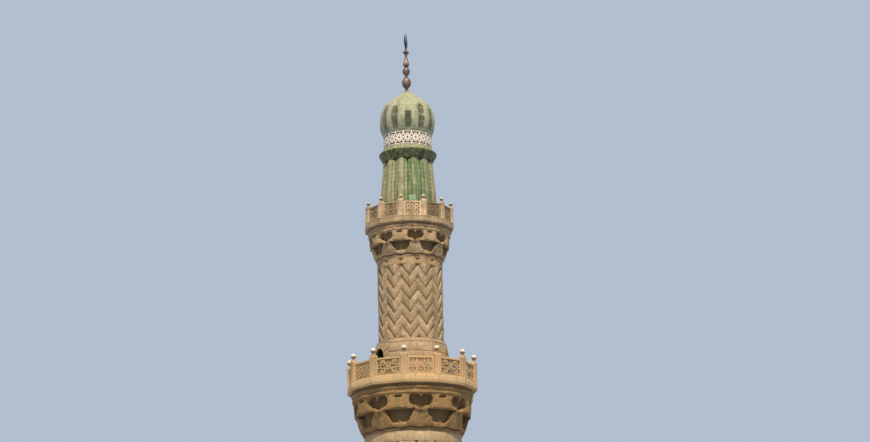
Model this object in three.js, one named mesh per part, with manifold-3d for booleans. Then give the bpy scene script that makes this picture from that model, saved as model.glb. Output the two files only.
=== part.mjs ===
// A stone minaret of two balconies, with a tiled drum, a lobed bulb and a metal finial, from the ground up.
import * as THREE from "three";
import { mergeVertices } from "three/addons/utils/BufferGeometryUtils.js";
import Module from "manifold-3d";

const wasm = await Module();
wasm.setup();

// Driving dimensions in millimetres. The ground is z = 0, and -Y is the front.
const JOINT_GAP = 0.3; // between pieces that touch
const SIDES = 12; // of both balconies, with a post at each corner
const RIBS = 12; // of the drum and the bulb
const NICHES = 8; // round each corbel

const BASE_SIDE = 5000;
const BASE_WALL = 700;
const SOCLE = { reach: 60, top: 640 };
const BASE_TOP = 9800;
const BASE_FLOOR = 200;
const BASE_DOOR = { width: 950, sill: BASE_FLOOR, spring: 1900, angle: 180 };
const SHOULDER_TOP = 10700;

const SHAFT_1 = { radius: 1830, bore: 1200, top: 15430 };
const SHAFT_2 = { radius: 1250, bore: 900, ledge: 19040, top: 22200 };
const PLINTH = [[1458, 17310], [1430, 18100], [1385, 18650], [1335, 18950], [1262, 19040]];

// The zigzag courses carved on each shaft: the field they fill, their turns round the shaft, the angle and level of
// one groove's valley, the rise to its peaks, and the distance between grooves.
const ZIGZAG_1 = { bottom: 12100, top: 15030, turns: 16, valley: 4, level: 12100, rise: 420, pitch: 575 };
const ZIGZAG_2 = { bottom: 19040, top: 21900, turns: 12, valley: -1, level: 21430, rise: 385, pitch: 473 };
ZIGZAG_1.columns = 32;
ZIGZAG_2.columns = 48;

// A course's face from one groove up to the next: shares of the pitch, and how deep they are cut.
const ZIGZAG_FACE = [[0, 52], [0.13, 7], [0.5, 2], [0.88, 20]];
const ZIGZAG_CORE = 64;

const BALCONY_DOOR = { width: 700, spring: 18390, angle: -62.5 };
const DRUM = { footRadius: 1110, waistLevel: 24800, headRadius: 970, bore: 700, top: 26190, ribDepth: 50 };
const DRUM_DOOR = { width: 560, spring: 24950, angle: 180 };
const RING = { radius: 1120, bottom: 26190, soffit: 26450, edge: 26535, top: 26710 };
const NECK = { radius: 935, bore: 700, top: 27290 };
const BULB = { bottom: 27290, footRadius: 945, widest: 1092, shell: 130, lobeDepth: 0.06 };
const FINIAL_BOTTOM = 29140;
const CRESCENT_FOOT = 30940;

// A corbel's outline, as shares of its reach and its rise.
const CORBEL = {
  line: [[0, 0], [0.08, 0.01], [0.1, 0.05], [0.16, 0.184], [0.44, 0.216], [0.5, 0.44], [0.7, 0.456]],
  tierStep: 0.448,
  nicheDepth: 0.08,
  hoodDepth: 0.09,
};
CORBEL.line.push([0.76, 0.776], [0.86, 0.8], [0.92, 0.944], [1, 1]);

const KERB = { reach: 15, inside: 90 };

const LOWER = {
  prefix: "lower",
  postAngle: 23.2,
  cornerRadius: 2460,
  bore: SHAFT_2.bore,
  corbelBottom: SHAFT_1.top,
  slabBottom: 17130,
  floor: 17310,
  panelBottom: 17420,
  panelTop: 18100,
  postTop: 18220,
  ballMiddle: 18405,
  ballRadius: 105,
  postWidth: 250,
  postDepth: 170,
  panelDepth: 100,
  doorAngle: BALCONY_DOOR.angle,
};
const UPPER = {
  prefix: "upper",
  postAngle: 19.9,
  cornerRadius: 1712,
  bore: DRUM.bore,
  corbelBottom: 22200,
  slabBottom: 23450,
  floor: 23580,
  panelBottom: 23680,
  panelTop: 24240,
  postTop: 24310,
  ballMiddle: 24450,
  ballRadius: 80,
  postWidth: 200,
  postDepth: 130,
  panelDepth: 90,
  doorAngle: DRUM_DOOR.angle,
};
DRUM_DOOR.sill = UPPER.floor;
BALCONY_DOOR.sill = LOWER.floor;

const material = (name, color, roughness, metalness = 0) => {
  const made = new THREE.MeshStandardMaterial({ color, roughness, metalness });
  made.name = name;
  return made;
};
const ASHLAR = material("ashlar", "#b8976b", 0.9);
const WARM_STONE = material("warm_stone", "#cda26c", 0.88);
const GREEN_TILE = material("green_tile", "#7f9a55", 0.35);
const DARK_TILE = material("dark_tile", "#3d4a2c", 0.35);
const CREAM = material("cream_band", "#d9cdb4", 0.6);
const COPPER = material("aged_copper", "#5b3a2c", 0.5, 0.8);

const degrees = (angle) => (angle * Math.PI) / 180;

// The direction out from the axis at an angle measured from the front, turning to the right.
const outward = (angle) => new THREE.Vector3(Math.sin(degrees(angle)), -Math.cos(degrees(angle)), 0);

// A closed geometry as a solid, turned right side out.
function solidOf(geometry) {
  const bare = new THREE.BufferGeometry();
  bare.setAttribute("position", geometry.getAttribute("position"));
  if (geometry.index) {
    bare.setIndex(geometry.index);
  }
  const merged = mergeVertices(bare, 1e-3);
  const corners = [];
  for (let i = 0; i < merged.index.count; i += 3) {
    const [a, b, c] = [0, 1, 2].map((k) => merged.index.getX(i + k));
    if (a !== b && b !== c && c !== a) {
      corners.push(a, b, c);
    }
  }
  const vertProperties = merged.attributes.position.array;
  const made = (triVerts) => new wasm.Manifold(new wasm.Mesh({ numProp: 3, vertProperties, triVerts }));
  const solid = made(new Uint32Array(corners));
  return solid.volume() > 0 ? solid : made(new Uint32Array(corners.reverse()));
}

const group = new THREE.Group();

// A solid as one named mesh of the group.
function addNode(name, solid, finish) {
  const { numProp, vertProperties, triVerts } = solid.getMesh();
  const positions = new Float32Array((vertProperties.length / numProp) * 3);
  for (let i = 0; i < positions.length / 3; i += 1) {
    positions.set(vertProperties.subarray(i * numProp, i * numProp + 3), i * 3);
  }
  const geometry = new THREE.BufferGeometry();
  geometry.setAttribute("position", new THREE.BufferAttribute(positions, 3));
  geometry.setIndex(new THREE.BufferAttribute(triVerts, 1));
  geometry.computeVertexNormals();
  const mesh = new THREE.Mesh(geometry, finish);
  mesh.name = name;
  group.add(mesh);
}

// A profile of [radius, height] points turned about the tower's axis. Its first segment starts at startAngle.
function turned(profile, segments, startAngle = 0, radiusAt = null) {
  const points = profile.map(([radius, height]) => new THREE.Vector2(radius, height));
  const geometry = new THREE.LatheGeometry(points, segments, degrees(startAngle));
  geometry.rotateX(Math.PI / 2);
  if (radiusAt) {
    const position = geometry.getAttribute("position");
    for (let i = 0; i < position.count; i += 1) {
      const [x, y, z] = [position.getX(i), position.getY(i), position.getZ(i)];
      const radius = Math.hypot(x, y);
      const angle = (Math.atan2(x, -y) * 180) / Math.PI;
      const scale = radius > 0 ? radiusAt(radius, angle, z) / radius : 1;
      position.setXY(i, x * scale, y * scale);
    }
  }
  return geometry;
}

// A closed ring profile from an outer line, drawn from the bottom up, and one bore radius.
function ringProfile(outer, bore) {
  const bottom = outer[0][1];
  const top = outer[outer.length - 1][1];
  return [[bore, bottom], ...outer, [bore, top], [bore, bottom]];
}

// An upright prism over a plan outline of [x, y] points.
function prism(outline, bottom, top) {
  const shape = new THREE.Shape(outline.map(([x, y]) => new THREE.Vector2(x, y)));
  const geometry = new THREE.ExtrudeGeometry(shape, { depth: top - bottom, bevelEnabled: false });
  return solidOf(geometry.translate(0, 0, bottom));
}

function block(x0, x1, y0, y1, z0, z1) {
  return prism([[x0, y0], [x1, y0], [x1, y1], [x0, y1]], z0, z1);
}

// A wedge of the plan between two angles less than 180 degrees apart, held off both its edges by half a gap.
function wedge(from, to, bottom, top, reach = 4000) {
  const middle = outward((from + to) / 2);
  const apex = middle.clone().multiplyScalar(JOINT_GAP / 2 / Math.sin(degrees((to - from) / 2)));
  const corners = [from, (from + to) / 2, to].map((angle) => outward(angle).multiplyScalar(reach).add(apex));
  return prism([apex, ...corners].map((point) => [point.x, point.y]), bottom, top);
}

// Stands a geometry drawn in the plane of a wall, +X along it, +Y up and +Z out, at an angle and a distance.
function facing(geometry, angle, distance) {
  const normal = outward(angle);
  const up = new THREE.Vector3(0, 0, 1);
  const along = new THREE.Vector3().crossVectors(up, normal);
  geometry.applyMatrix4(new THREE.Matrix4().makeBasis(along, up, normal));
  return geometry.translate(normal.x * distance, normal.y * distance, 0);
}

// The space of a doorway with a round head, cut out from the axis at its angle.
function doorway({ width, sill, spring, angle }, from, to, grow = 0) {
  const half = width / 2 + grow;
  const shape = new THREE.Shape();
  shape.moveTo(-half, sill - grow);
  shape.lineTo(half, sill - grow);
  shape.lineTo(half, spring);
  shape.absarc(0, spring, half, 0, Math.PI, false);
  shape.lineTo(-half, sill - grow);
  const depth = { depth: to - from, bevelEnabled: false, curveSegments: 8 };
  return solidOf(facing(new THREE.ExtrudeGeometry(shape, depth), angle, from));
}

// A ring wall with a doorway: four segments that meet at its splits, and a fifth piece over the door.
function addDoorWall(name, ring, { inner, reach, bottom, top }, door, splits, finish) {
  const slot = { ...door, sill: bottom - 50, spring: top + door.width };
  const over = ring.intersect(doorway(slot, inner / 2, reach + 200, -JOINT_GAP));
  const lowered = { ...door, sill: bottom - 50 };
  const lintel = over.intersect(block(-5000, 5000, -5000, 5000, door.spring, top + 50));
  addNode(`${name}_over_door`, lintel.subtract(doorway(lowered, 0, reach + 300)), finish);
  const wall = ring.subtract(doorway(slot, inner / 2, reach + 200));
  for (const [index, side] of ["a", "b", "c", "d"].entries()) {
    const part = wall.intersect(wedge(splits[index], splits[index + 1], bottom - 10, top + 10));
    addNode(`${name}_${side}`, part, finish);
  }
}

// The square base on its socle: four walls round one room, with a doorway at the back.
function addBase() {
  const half = BASE_SIDE / 2;
  const inner = half - BASE_WALL;
  const clear = inner - JOINT_GAP;
  const foot = half + SOCLE.reach;
  const jamb = BASE_DOOR.width / 2;
  addNode("base_floor", block(-clear, clear, -clear, clear, 0, BASE_FLOOR), ASHLAR);
  const wall = (name, [x0, x1, y0, y1], [fx0, fx1, fy0, fy1]) => {
    const body = block(x0, x1, y0, y1, 0, BASE_TOP);
    addNode(name, body.add(block(fx0, fx1, fy0, fy1, 0, SOCLE.top)), ASHLAR);
  };
  wall("base_wall_front", [-half, half, -half, -inner], [-foot, foot, -foot, -inner]);
  wall("base_wall_left", [-half, -inner, -clear, clear], [-foot, -inner, -clear, clear]);
  wall("base_wall_right", [inner, half, -clear, clear], [inner, foot, -clear, clear]);
  wall("base_wall_rear_left", [-half, -jamb, inner, half], [-foot, -jamb, inner, foot]);
  wall("base_wall_rear_right", [jamb, half, inner, half], [jamb, foot, inner, foot]);
  const over = block(-jamb + JOINT_GAP, jamb - JOINT_GAP, inner, half, BASE_DOOR.spring, BASE_TOP);
  addNode("base_wall_rear_over_door", over.subtract(doorway(BASE_DOOR, inner - 100, half + 100)), ASHLAR);
}

// The shoulder over the base, square below and round above, in eight steps of its plan a side.
function addShoulder() {
  const half = BASE_SIDE / 2;
  const bottom = BASE_TOP + JOINT_GAP;
  const squareReach = (angle) => {
    const direction = outward(angle);
    return half / Math.max(Math.abs(direction.x), Math.abs(direction.y));
  };
  const profile = ringProfile([[3000, bottom], [3000, bottom + 120], [2600, SHOULDER_TOP]], SHAFT_1.bore);
  const radiusAt = (radius, angle, z) => {
    if (radius < SHAFT_1.bore + 1) {
      return radius;
    }
    return z < SHOULDER_TOP - 1 ? squareReach(angle) : SHAFT_1.radius + 60;
  };
  addNode("base_shoulder", solidOf(turned(profile, 48, 0, radiusAt)), ASHLAR);
}

// A sleeve of zigzag courses round a shaft, trimmed level at the top and bottom of its field.
function zigzagSleeve({ bottom, top, turns, valley, level, rise, pitch, columns }, radius) {
  const lowest = Math.floor((bottom - rise - level) / pitch);
  const highest = Math.ceil((top - level) / pitch);
  const rows = [];
  for (let course = lowest; course <= highest; course += 1) {
    rows.push(...ZIGZAG_FACE.map(([share, cut]) => [radius - cut, level + pitch * (course + share)]));
  }
  const inside = radius - ZIGZAG_CORE - 30;
  const line = [...rows, [inside, rows[rows.length - 1][1]], [inside, rows[0][1]]];
  const points = line.flatMap(([reach, height]) => {
    return Array.from({ length: columns }, (_, column) => {
      const turn = ((column * turns) / columns) % 1;
      const lift = rise * (1 - Math.abs(turn * 2 - 1));
      const point = outward(valley + (column * 360) / columns).multiplyScalar(reach);
      return [point.x, point.y, height + lift];
    });
  });
  const index = line.flatMap((_, row) => {
    const above = ((row + 1) % line.length) * columns;
    return Array.from({ length: columns }, (_, column) => {
      const [a, b] = [row * columns + column, row * columns + ((column + 1) % columns)];
      const [c, d] = [above + ((column + 1) % columns), above + column];
      return [a, b, c, a, c, d];
    }).flat();
  });
  const geometry = new THREE.BufferGeometry();
  geometry.setAttribute("position", new THREE.Float32BufferAttribute(points.flat(), 3));
  geometry.setIndex(index);
  return solidOf(geometry).intersect(block(-radius * 2, radius * 2, -radius * 2, radius * 2, bottom, top));
}

function addFirstShaft() {
  const bottom = SHOULDER_TOP + JOINT_GAP;
  const { radius, bore, top } = SHAFT_1;
  const core = radius - ZIGZAG_CORE;
  const outer = [[radius + 60, bottom], [radius + 60, bottom + 260], [radius, bottom + 330]];
  outer.push([radius, ZIGZAG_1.bottom], [core, ZIGZAG_1.bottom], [core, ZIGZAG_1.top], [radius, ZIGZAG_1.top]);
  outer.push([radius, top]);
  const wall = solidOf(turned(ringProfile(outer, bore), 48));
  addNode("first_shaft", wall.add(zigzagSleeve(ZIGZAG_1, radius)), ASHLAR);
}

// How far a corbel's face is set back, as a share of its radius, at a height from 0 to 1. Its upper tier has
// niches, and its lower one has hoods between pendants that widen downwards.
function corbelSetback(angle, height) {
  const unit = 360 / NICHES;
  const fromNiche = Math.abs(((((angle - 8.5) % unit) + unit * 1.5) % unit) - unit / 2);
  if (height > CORBEL.tierStep) {
    return fromNiche < 11 ? CORBEL.nicheDepth : 0;
  }
  return fromNiche > 5 + 22 * (CORBEL.tierStep - height) ? CORBEL.hoodDepth : 0;
}

// A corbel of two tiers, which carries a balcony from the shaft below it.
function addCorbel(level, shaftRadius, bore) {
  const bottom = level.corbelBottom + JOINT_GAP;
  const top = level.slabBottom - JOINT_GAP;
  const rise = top - bottom;
  const reach = level.cornerRadius * 0.95 - shaftRadius;
  const outer = CORBEL.line.map(([out, up]) => [shaftRadius + reach * out, bottom + rise * up]);
  const radiusAt = (radius, angle, z) => {
    const height = (z - bottom) / rise;
    const plain = radius < bore + 1 || height < 0.1 || height > 0.79;
    return plain ? radius : radius * (1 - corbelSetback(angle, height));
  };
  addNode(`${level.prefix}_corbel`, solidOf(turned(ringProfile(outer, bore), 64, 0, radiusAt)), ASHLAR);
}

// A twelve-sided slab, with a half landing inside at the door that gives on to it.
function addSlab(level) {
  const { cornerRadius, slabBottom, floor, bore } = level;
  const edge = cornerRadius + KERB.reach;
  const outline = [[0, slabBottom], [edge - 40, slabBottom], [edge, slabBottom + 40], [edge, floor]];
  const plate = solidOf(turned([...outline, [0, floor], [0, slabBottom]], SIDES, level.postAngle));
  const [under, over] = [slabBottom - 50, floor + 50];
  const well = solidOf(turned([[0, under], [bore, under], [bore, over], [0, over]], 32));
  const away = level.doorAngle + 180;
  const halfPlan = facing(new THREE.BoxGeometry(bore * 3, 4000, bore * 2).translate(0, floor, bore), away, 0);
  addNode(`${level.prefix}_balcony_slab`, plate.subtract(well.intersect(solidOf(halfPlan))), WARM_STONE);
}

// A parapet panel from its foot in the kerb to its top, pierced over the kerb by two rows of diamonds.
function pierced(width, foot, bottom, top) {
  const half = width / 2;
  const shape = new THREE.Shape();
  shape.moveTo(-half, foot);
  shape.lineTo(half, foot);
  shape.lineTo(half, top);
  shape.lineTo(-half, top);
  shape.lineTo(-half, foot);
  const margin = (top - bottom) * 0.13;
  const columns = Math.max(2, Math.round((width - 2 * margin) / ((top - bottom) * 0.36)));
  const rows = 2;
  const cellWidth = (width - 2 * margin) / columns;
  const cellHeight = (top - bottom - 2 * margin) / rows;
  for (let column = 0; column < columns; column += 1) {
    for (let row = 0; row < rows; row += 1) {
      const x = -half + margin + cellWidth * (column + 0.5);
      const y = bottom + margin + cellHeight * (row + 0.5);
      const hole = new THREE.Path();
      hole.moveTo(x - cellWidth * 0.4, y);
      hole.lineTo(x, y + cellHeight * 0.42);
      hole.lineTo(x + cellWidth * 0.4, y);
      hole.lineTo(x, y - cellHeight * 0.42);
      hole.lineTo(x - cellWidth * 0.4, y);
      shape.holes.push(hole);
    }
  }
  return shape;
}

// A post with its neck and ball, at one corner of a balcony. Grown, it is the seat of the panel beside it.
function parapetPost(level, angle, grow = 0) {
  const { cornerRadius, postDepth, postWidth, panelBottom, postTop, ballMiddle, ballRadius } = level;
  const height = postTop - panelBottom;
  const box = new THREE.BoxGeometry(postWidth + 2 * grow, height + 2 * grow, postDepth + 2 * grow);
  box.translate(0, panelBottom + height / 2, 0);
  const stem = solidOf(facing(box, angle, cornerRadius - postDepth / 2));
  const r = ballRadius;
  const cap = [[0, postTop - 10], [r * 0.85, postTop - 10], [r * 0.5, postTop + 40]];
  cap.push([r * 0.5, ballMiddle - r * 0.85], [r, ballMiddle - 15], [r * 0.75, ballMiddle + 50]);
  cap.push([0, ballMiddle + r * 0.95]);
  const centre = outward(angle).multiplyScalar(cornerRadius - postDepth / 2);
  return stem.add(solidOf(turned(cap, 7)).translate([centre.x, centre.y, 0]));
}

// One side of a parapet: its length of kerb, the post at its left corner and the panel up to the next post.
function addParapet(level) {
  const { cornerRadius, floor, panelBottom, panelDepth, postDepth } = level;
  const apothem = cornerRadius * Math.cos(Math.PI / SIDES);
  const length = 2 * cornerRadius * Math.sin(Math.PI / SIDES);
  const inset = (postDepth - panelDepth) / 2;
  const [kerbBottom, kerbTop] = [floor + JOINT_GAP, panelBottom - JOINT_GAP];
  const edge = cornerRadius + KERB.reach;
  const kerbProfile = ringProfile([[edge, kerbBottom], [edge, kerbTop]], edge - postDepth - KERB.inside);
  const kerb = solidOf(turned(kerbProfile, SIDES, level.postAngle));
  for (let side = 0; side < SIDES; side += 1) {
    const angle = level.postAngle + (360 / SIDES) * side;
    const shape = pierced(length - level.postWidth, kerbBottom, panelBottom, level.panelTop);
    const plate = new THREE.ExtrudeGeometry(shape, { depth: panelDepth, bevelEnabled: false });
    plate.scale(1.12, 1, 1);
    const panel = solidOf(facing(plate, angle + 180 / SIDES, apothem - panelDepth - inset));
    const next = parapetPost(level, angle + 360 / SIDES, JOINT_GAP);
    const kerbLength = kerb.intersect(wedge(angle, angle + 360 / SIDES, kerbBottom - 10, kerbTop + 10));
    const name = `${level.prefix}_parapet_side_${String(side + 1).padStart(2, "0")}`;
    addNode(name, panel.subtract(next).add(kerbLength).add(parapetPost(level, angle)), WARM_STONE);
  }
}

// The upper shaft on its splayed plinth, with the doorway to the lower balcony.
function addSecondShaft() {
  const { radius, bore, ledge, top } = SHAFT_2;
  const outline = PLINTH.map(([r, z], index) => {
    const gap = index === 0 ? JOINT_GAP : index === PLINTH.length - 1 ? -JOINT_GAP : 0;
    return [r, z + gap];
  });
  const plinth = solidOf(turned(ringProfile(outline, bore), 48));
  const extent = { inner: bore - 100, reach: PLINTH[0][0], bottom: outline[0][1], top: ledge };
  const splits = [BALCONY_DOOR.angle, 45, 135, 225, BALCONY_DOOR.angle + 360];
  addDoorWall("shaft_plinth", plinth, extent, BALCONY_DOOR, splits, ASHLAR);
  const core = radius - ZIGZAG_CORE;
  const outer = [[core, ledge], [core, ZIGZAG_2.top], [radius, ZIGZAG_2.top], [radius, top]];
  const wall = solidOf(turned(ringProfile(outer, bore), 48));
  addNode("second_shaft", wall.add(zigzagSleeve(ZIGZAG_2, radius)), ASHLAR);
}

// How far round its rib or lobe an angle lies, from 0 at one valley to 1 at the next.
const acrossRib = (angle, valley) => ((((angle - valley) * RIBS) / 360) % 1 + 1) % 1;

function addDrum() {
  const bottom = UPPER.floor + JOINT_GAP;
  const { footRadius, waistLevel, headRadius, bore, top, ribDepth } = DRUM;
  const outer = [[footRadius, bottom], [footRadius - 10, waistLevel], [headRadius, top - JOINT_GAP]];
  const radiusAt = (radius, angle) => {
    if (radius < bore + 1) {
      return radius;
    }
    return radius - ribDepth * (1 - Math.sin(Math.PI * acrossRib(angle, -1)));
  };
  const drum = solidOf(turned(ringProfile(outer, bore), 72, 0, radiusAt));
  const extent = { inner: bore - 100, reach: footRadius, bottom, top };
  addDoorWall("drum", drum, extent, DRUM_DOOR, [180, 270, 360, 450, 540], GREEN_TILE);
}

function addRingAndNeck() {
  const { radius, bottom, soffit, edge, top } = RING;
  const ring = [[DRUM.headRadius, bottom], [radius - 80, soffit - 100], [radius - 10, soffit]];
  ring.push([radius, soffit + 40], [radius, edge], [radius - 160, top - JOINT_GAP]);
  addNode("drum_ring_cornice", solidOf(turned(ringProfile(ring, NECK.bore), 36)), DARK_TILE);
  const neck = ringProfile([[NECK.radius, top], [NECK.radius, NECK.top - JOINT_GAP]], NECK.bore);
  addNode("neck_band", solidOf(turned(neck, 36)), CREAM);
}

// The bulb: a shell open below, whose outer line is a curve through its foot, its widest ring and its point.
function addBulb() {
  const { bottom, footRadius, widest, shell, lobeDepth } = BULB;
  const along = [[footRadius, 0], [995, 90], [1055, 250], [widest, 450], [1078, 720], [975, 1090]];
  along.push([798, 1330], [515, 1565], [322, 1695], [165, 1800]);
  const curve = new THREE.SplineCurve(along.map(([r, z]) => new THREE.Vector2(r, bottom + z)));
  const line = curve.getPoints(10).map((point) => [point.x, point.y]);
  const tip = [[90, FINIAL_BOTTOM - JOINT_GAP], [0, FINIAL_BOTTOM - JOINT_GAP]];
  const inside = line.slice(0, -2).map(([r, z]) => [Math.max(r - shell, 0), z - shell * 0.35]).reverse();
  inside[inside.length - 1] = [footRadius - shell, bottom];
  const profile = [...line, ...tip, [0, inside[0][1] + 30], ...inside, line[0]];
  const radiusAt = (radius, angle, z) => {
    const height = (z - bottom) / (FINIAL_BOTTOM - bottom);
    const outside = line.some(([r, level]) => Math.abs(r - radius) < 0.5 && Math.abs(level - z) < 0.5);
    const fade = Math.min(1, height * 9, Math.max(0, (0.97 - height) * 2.2));
    const valley = 1 - Math.sin(Math.PI * acrossRib(angle, 2));
    return outside ? radius * (1 - lobeDepth * fade * valley) : radius;
  };
  addNode("bulb", solidOf(turned(profile, 48, 2, radiusAt)), GREEN_TILE);
}

// A ball or a flattened disc of the finial as points of its profile.
function bead(middle, radius, halfHeight) {
  return [-60, -25, 15, 55].map((angle) => {
    return [radius * Math.cos(degrees(angle)), middle + halfHeight * Math.sin(degrees(angle))];
  });
}

function addFinial() {
  const profile = [[0, FINIAL_BOTTOM], [110, FINIAL_BOTTOM], [60, FINIAL_BOTTOM + 70]];
  profile.push(...bead(29500, 182, 230), ...bead(29975, 146, 175), [62, 30130]);
  profile.push([112, 30210], [125, 30290], [70, 30480], [40, 30620], [45, 30680], [128, 30770], [60, 30830]);
  profile.push([35, 30900], [32, CRESCENT_FOOT], [0, CRESCENT_FOOT]);
  addNode("finial_spire", solidOf(turned(profile, 16)), COPPER);
  const crescent = new THREE.Shape();
  const middle = 31255;
  crescent.absarc(0, middle, 300, degrees(82), degrees(98), true);
  crescent.absarc(0, middle + 45, 250, degrees(100), degrees(440), false);
  const blade = new THREE.ExtrudeGeometry(crescent, { depth: 50, bevelEnabled: false, curveSegments: 14 });
  const footBottom = CRESCENT_FOOT + JOINT_GAP;
  const footTop = middle - 280;
  const foot = solidOf(turned([[0, footBottom], [32, footBottom], [24, footTop], [0, footTop]], 12));
  addNode("finial_crescent", solidOf(facing(blade, 79, -25)).add(foot), COPPER);
}

addBase();
addShoulder();
addFirstShaft();
addCorbel(LOWER, SHAFT_1.radius, SHAFT_1.bore);
addSlab(LOWER);
addParapet(LOWER);
addSecondShaft();
addCorbel(UPPER, SHAFT_2.radius, SHAFT_2.bore);
addSlab(UPPER);
addParapet(UPPER);
addDrum();
addRingAndNeck();
addBulb();
addFinial();

export default group;
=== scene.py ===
"""The looks of a stone minaret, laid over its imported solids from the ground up.

Lengths are metres. An angle is measured in degrees round the tower's axis, from 0 at the front (-Y), growing
to the right (+X), so a point at radius r and angle a is at x = r sin a, y = -r cos a.
"""

import bpy
import numpy as np
from mathutils import Matrix, Vector


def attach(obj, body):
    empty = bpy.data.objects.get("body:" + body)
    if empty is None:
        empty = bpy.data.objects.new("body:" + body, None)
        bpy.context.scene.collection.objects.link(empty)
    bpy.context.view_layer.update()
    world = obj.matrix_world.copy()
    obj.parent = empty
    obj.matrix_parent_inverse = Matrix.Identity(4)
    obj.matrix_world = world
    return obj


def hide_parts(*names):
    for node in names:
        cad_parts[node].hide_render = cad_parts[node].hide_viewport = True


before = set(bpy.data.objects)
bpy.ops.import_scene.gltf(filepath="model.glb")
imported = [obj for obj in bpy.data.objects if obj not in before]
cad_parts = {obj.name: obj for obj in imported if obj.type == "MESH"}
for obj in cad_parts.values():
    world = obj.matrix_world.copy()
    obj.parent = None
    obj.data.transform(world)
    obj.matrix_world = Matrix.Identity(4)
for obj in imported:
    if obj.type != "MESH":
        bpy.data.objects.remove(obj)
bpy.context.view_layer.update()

# Base masonry
# The foot of the tower is a square shaft of limestone blocks laid in level courses, with a doorway at the
# back. Each block is a worn face with bevelled edges, a little proud of the mortar core behind it.

rng = np.random.default_rng(1842)
SHARP_ANGLE = 34.0


def new_piece(name, parts, material, stands_for=()):
    """A mesh object at the origin, riding on the tower, joined from parts of (points, quads, tone, mark).

    tone is a number per face that tells one stone or tile from the next. mark is a number per point that
    darkens hollows or picks out a second colour, and a part may leave it out.
    """
    offsets = np.cumsum([0] + [len(part[0]) for part in parts[:-1]])
    points = np.concatenate([part[0] for part in parts])
    quads = np.concatenate([part[1] + offset for part, offset in zip(parts, offsets)])
    tone = np.concatenate([np.broadcast_to(part[2], len(part[1])) for part in parts])
    marks = [part[3] if len(part) > 3 else 0.0 for part in parts]
    mark = np.concatenate([np.broadcast_to(each, len(part[0])) for each, part in zip(marks, parts)])
    mesh = bpy.data.meshes.new(name)
    mesh.vertices.add(len(points))
    mesh.vertices.foreach_set("co", np.ascontiguousarray(points, np.float32).ravel())
    mesh.loops.add(quads.size)
    mesh.loops.foreach_set("vertex_index", np.ascontiguousarray(quads, np.int32).ravel())
    mesh.polygons.add(len(quads))
    mesh.polygons.foreach_set("loop_start", np.arange(0, quads.size, 4, dtype=np.int32))
    mesh.update(calc_edges=True)
    mesh.polygons.foreach_set("use_smooth", np.full(len(quads), True))
    mesh.set_sharp_from_angle(angle=np.radians(SHARP_ANGLE))
    mesh.attributes.new("tone", "FLOAT", "FACE").data.foreach_set("value", tone.astype(np.float32))
    mesh.attributes.new("mark", "FLOAT", "POINT").data.foreach_set("value", mark.astype(np.float32))
    mesh.materials.append(material)
    piece = bpy.data.objects.new(name, mesh)
    bpy.context.scene.collection.objects.link(piece)
    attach(piece, "root")
    if stands_for:
        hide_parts(*stands_for)


def dress(node, material):
    """Gives a solid that stays in view one material."""
    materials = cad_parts[node].data.materials
    materials.clear()
    materials.append(material)


def grid_quads(rows, columns, closed_rows=False, closed_columns=False):
    """Corners of the faces between rows x columns points, joined end to end where closed.

    They face outwards when rows go up and columns go round with a growing angle.
    """
    i = np.arange(rows if closed_rows else rows - 1)[:, None]
    j = np.arange(columns if closed_columns else columns - 1)[None, :]
    up, along = (i + 1) % rows, (j + 1) % columns
    corners = [i * columns + j, i * columns + along, up * columns + along, up * columns + j]
    return np.stack(corners, -1).reshape(-1, 4)


def joined(x, y, z):
    """Rows of three from the points' x, y and z, each stretched to the others' grid."""
    return np.stack(np.broadcast_arrays(x, y, z), -1).reshape(-1, 3)


def cuboid(x0, x1, y0, y1, z0, z1):
    """A box as one closed part."""
    points = joined([x0, x1, x1, x0], [y0, y0, y1, y1], [[z0], [z1]])
    quads = np.concatenate([grid_quads(2, 4, closed_columns=True), [[3, 2, 1, 0], [4, 5, 6, 7]]])
    return points, quads, 0.0


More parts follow.
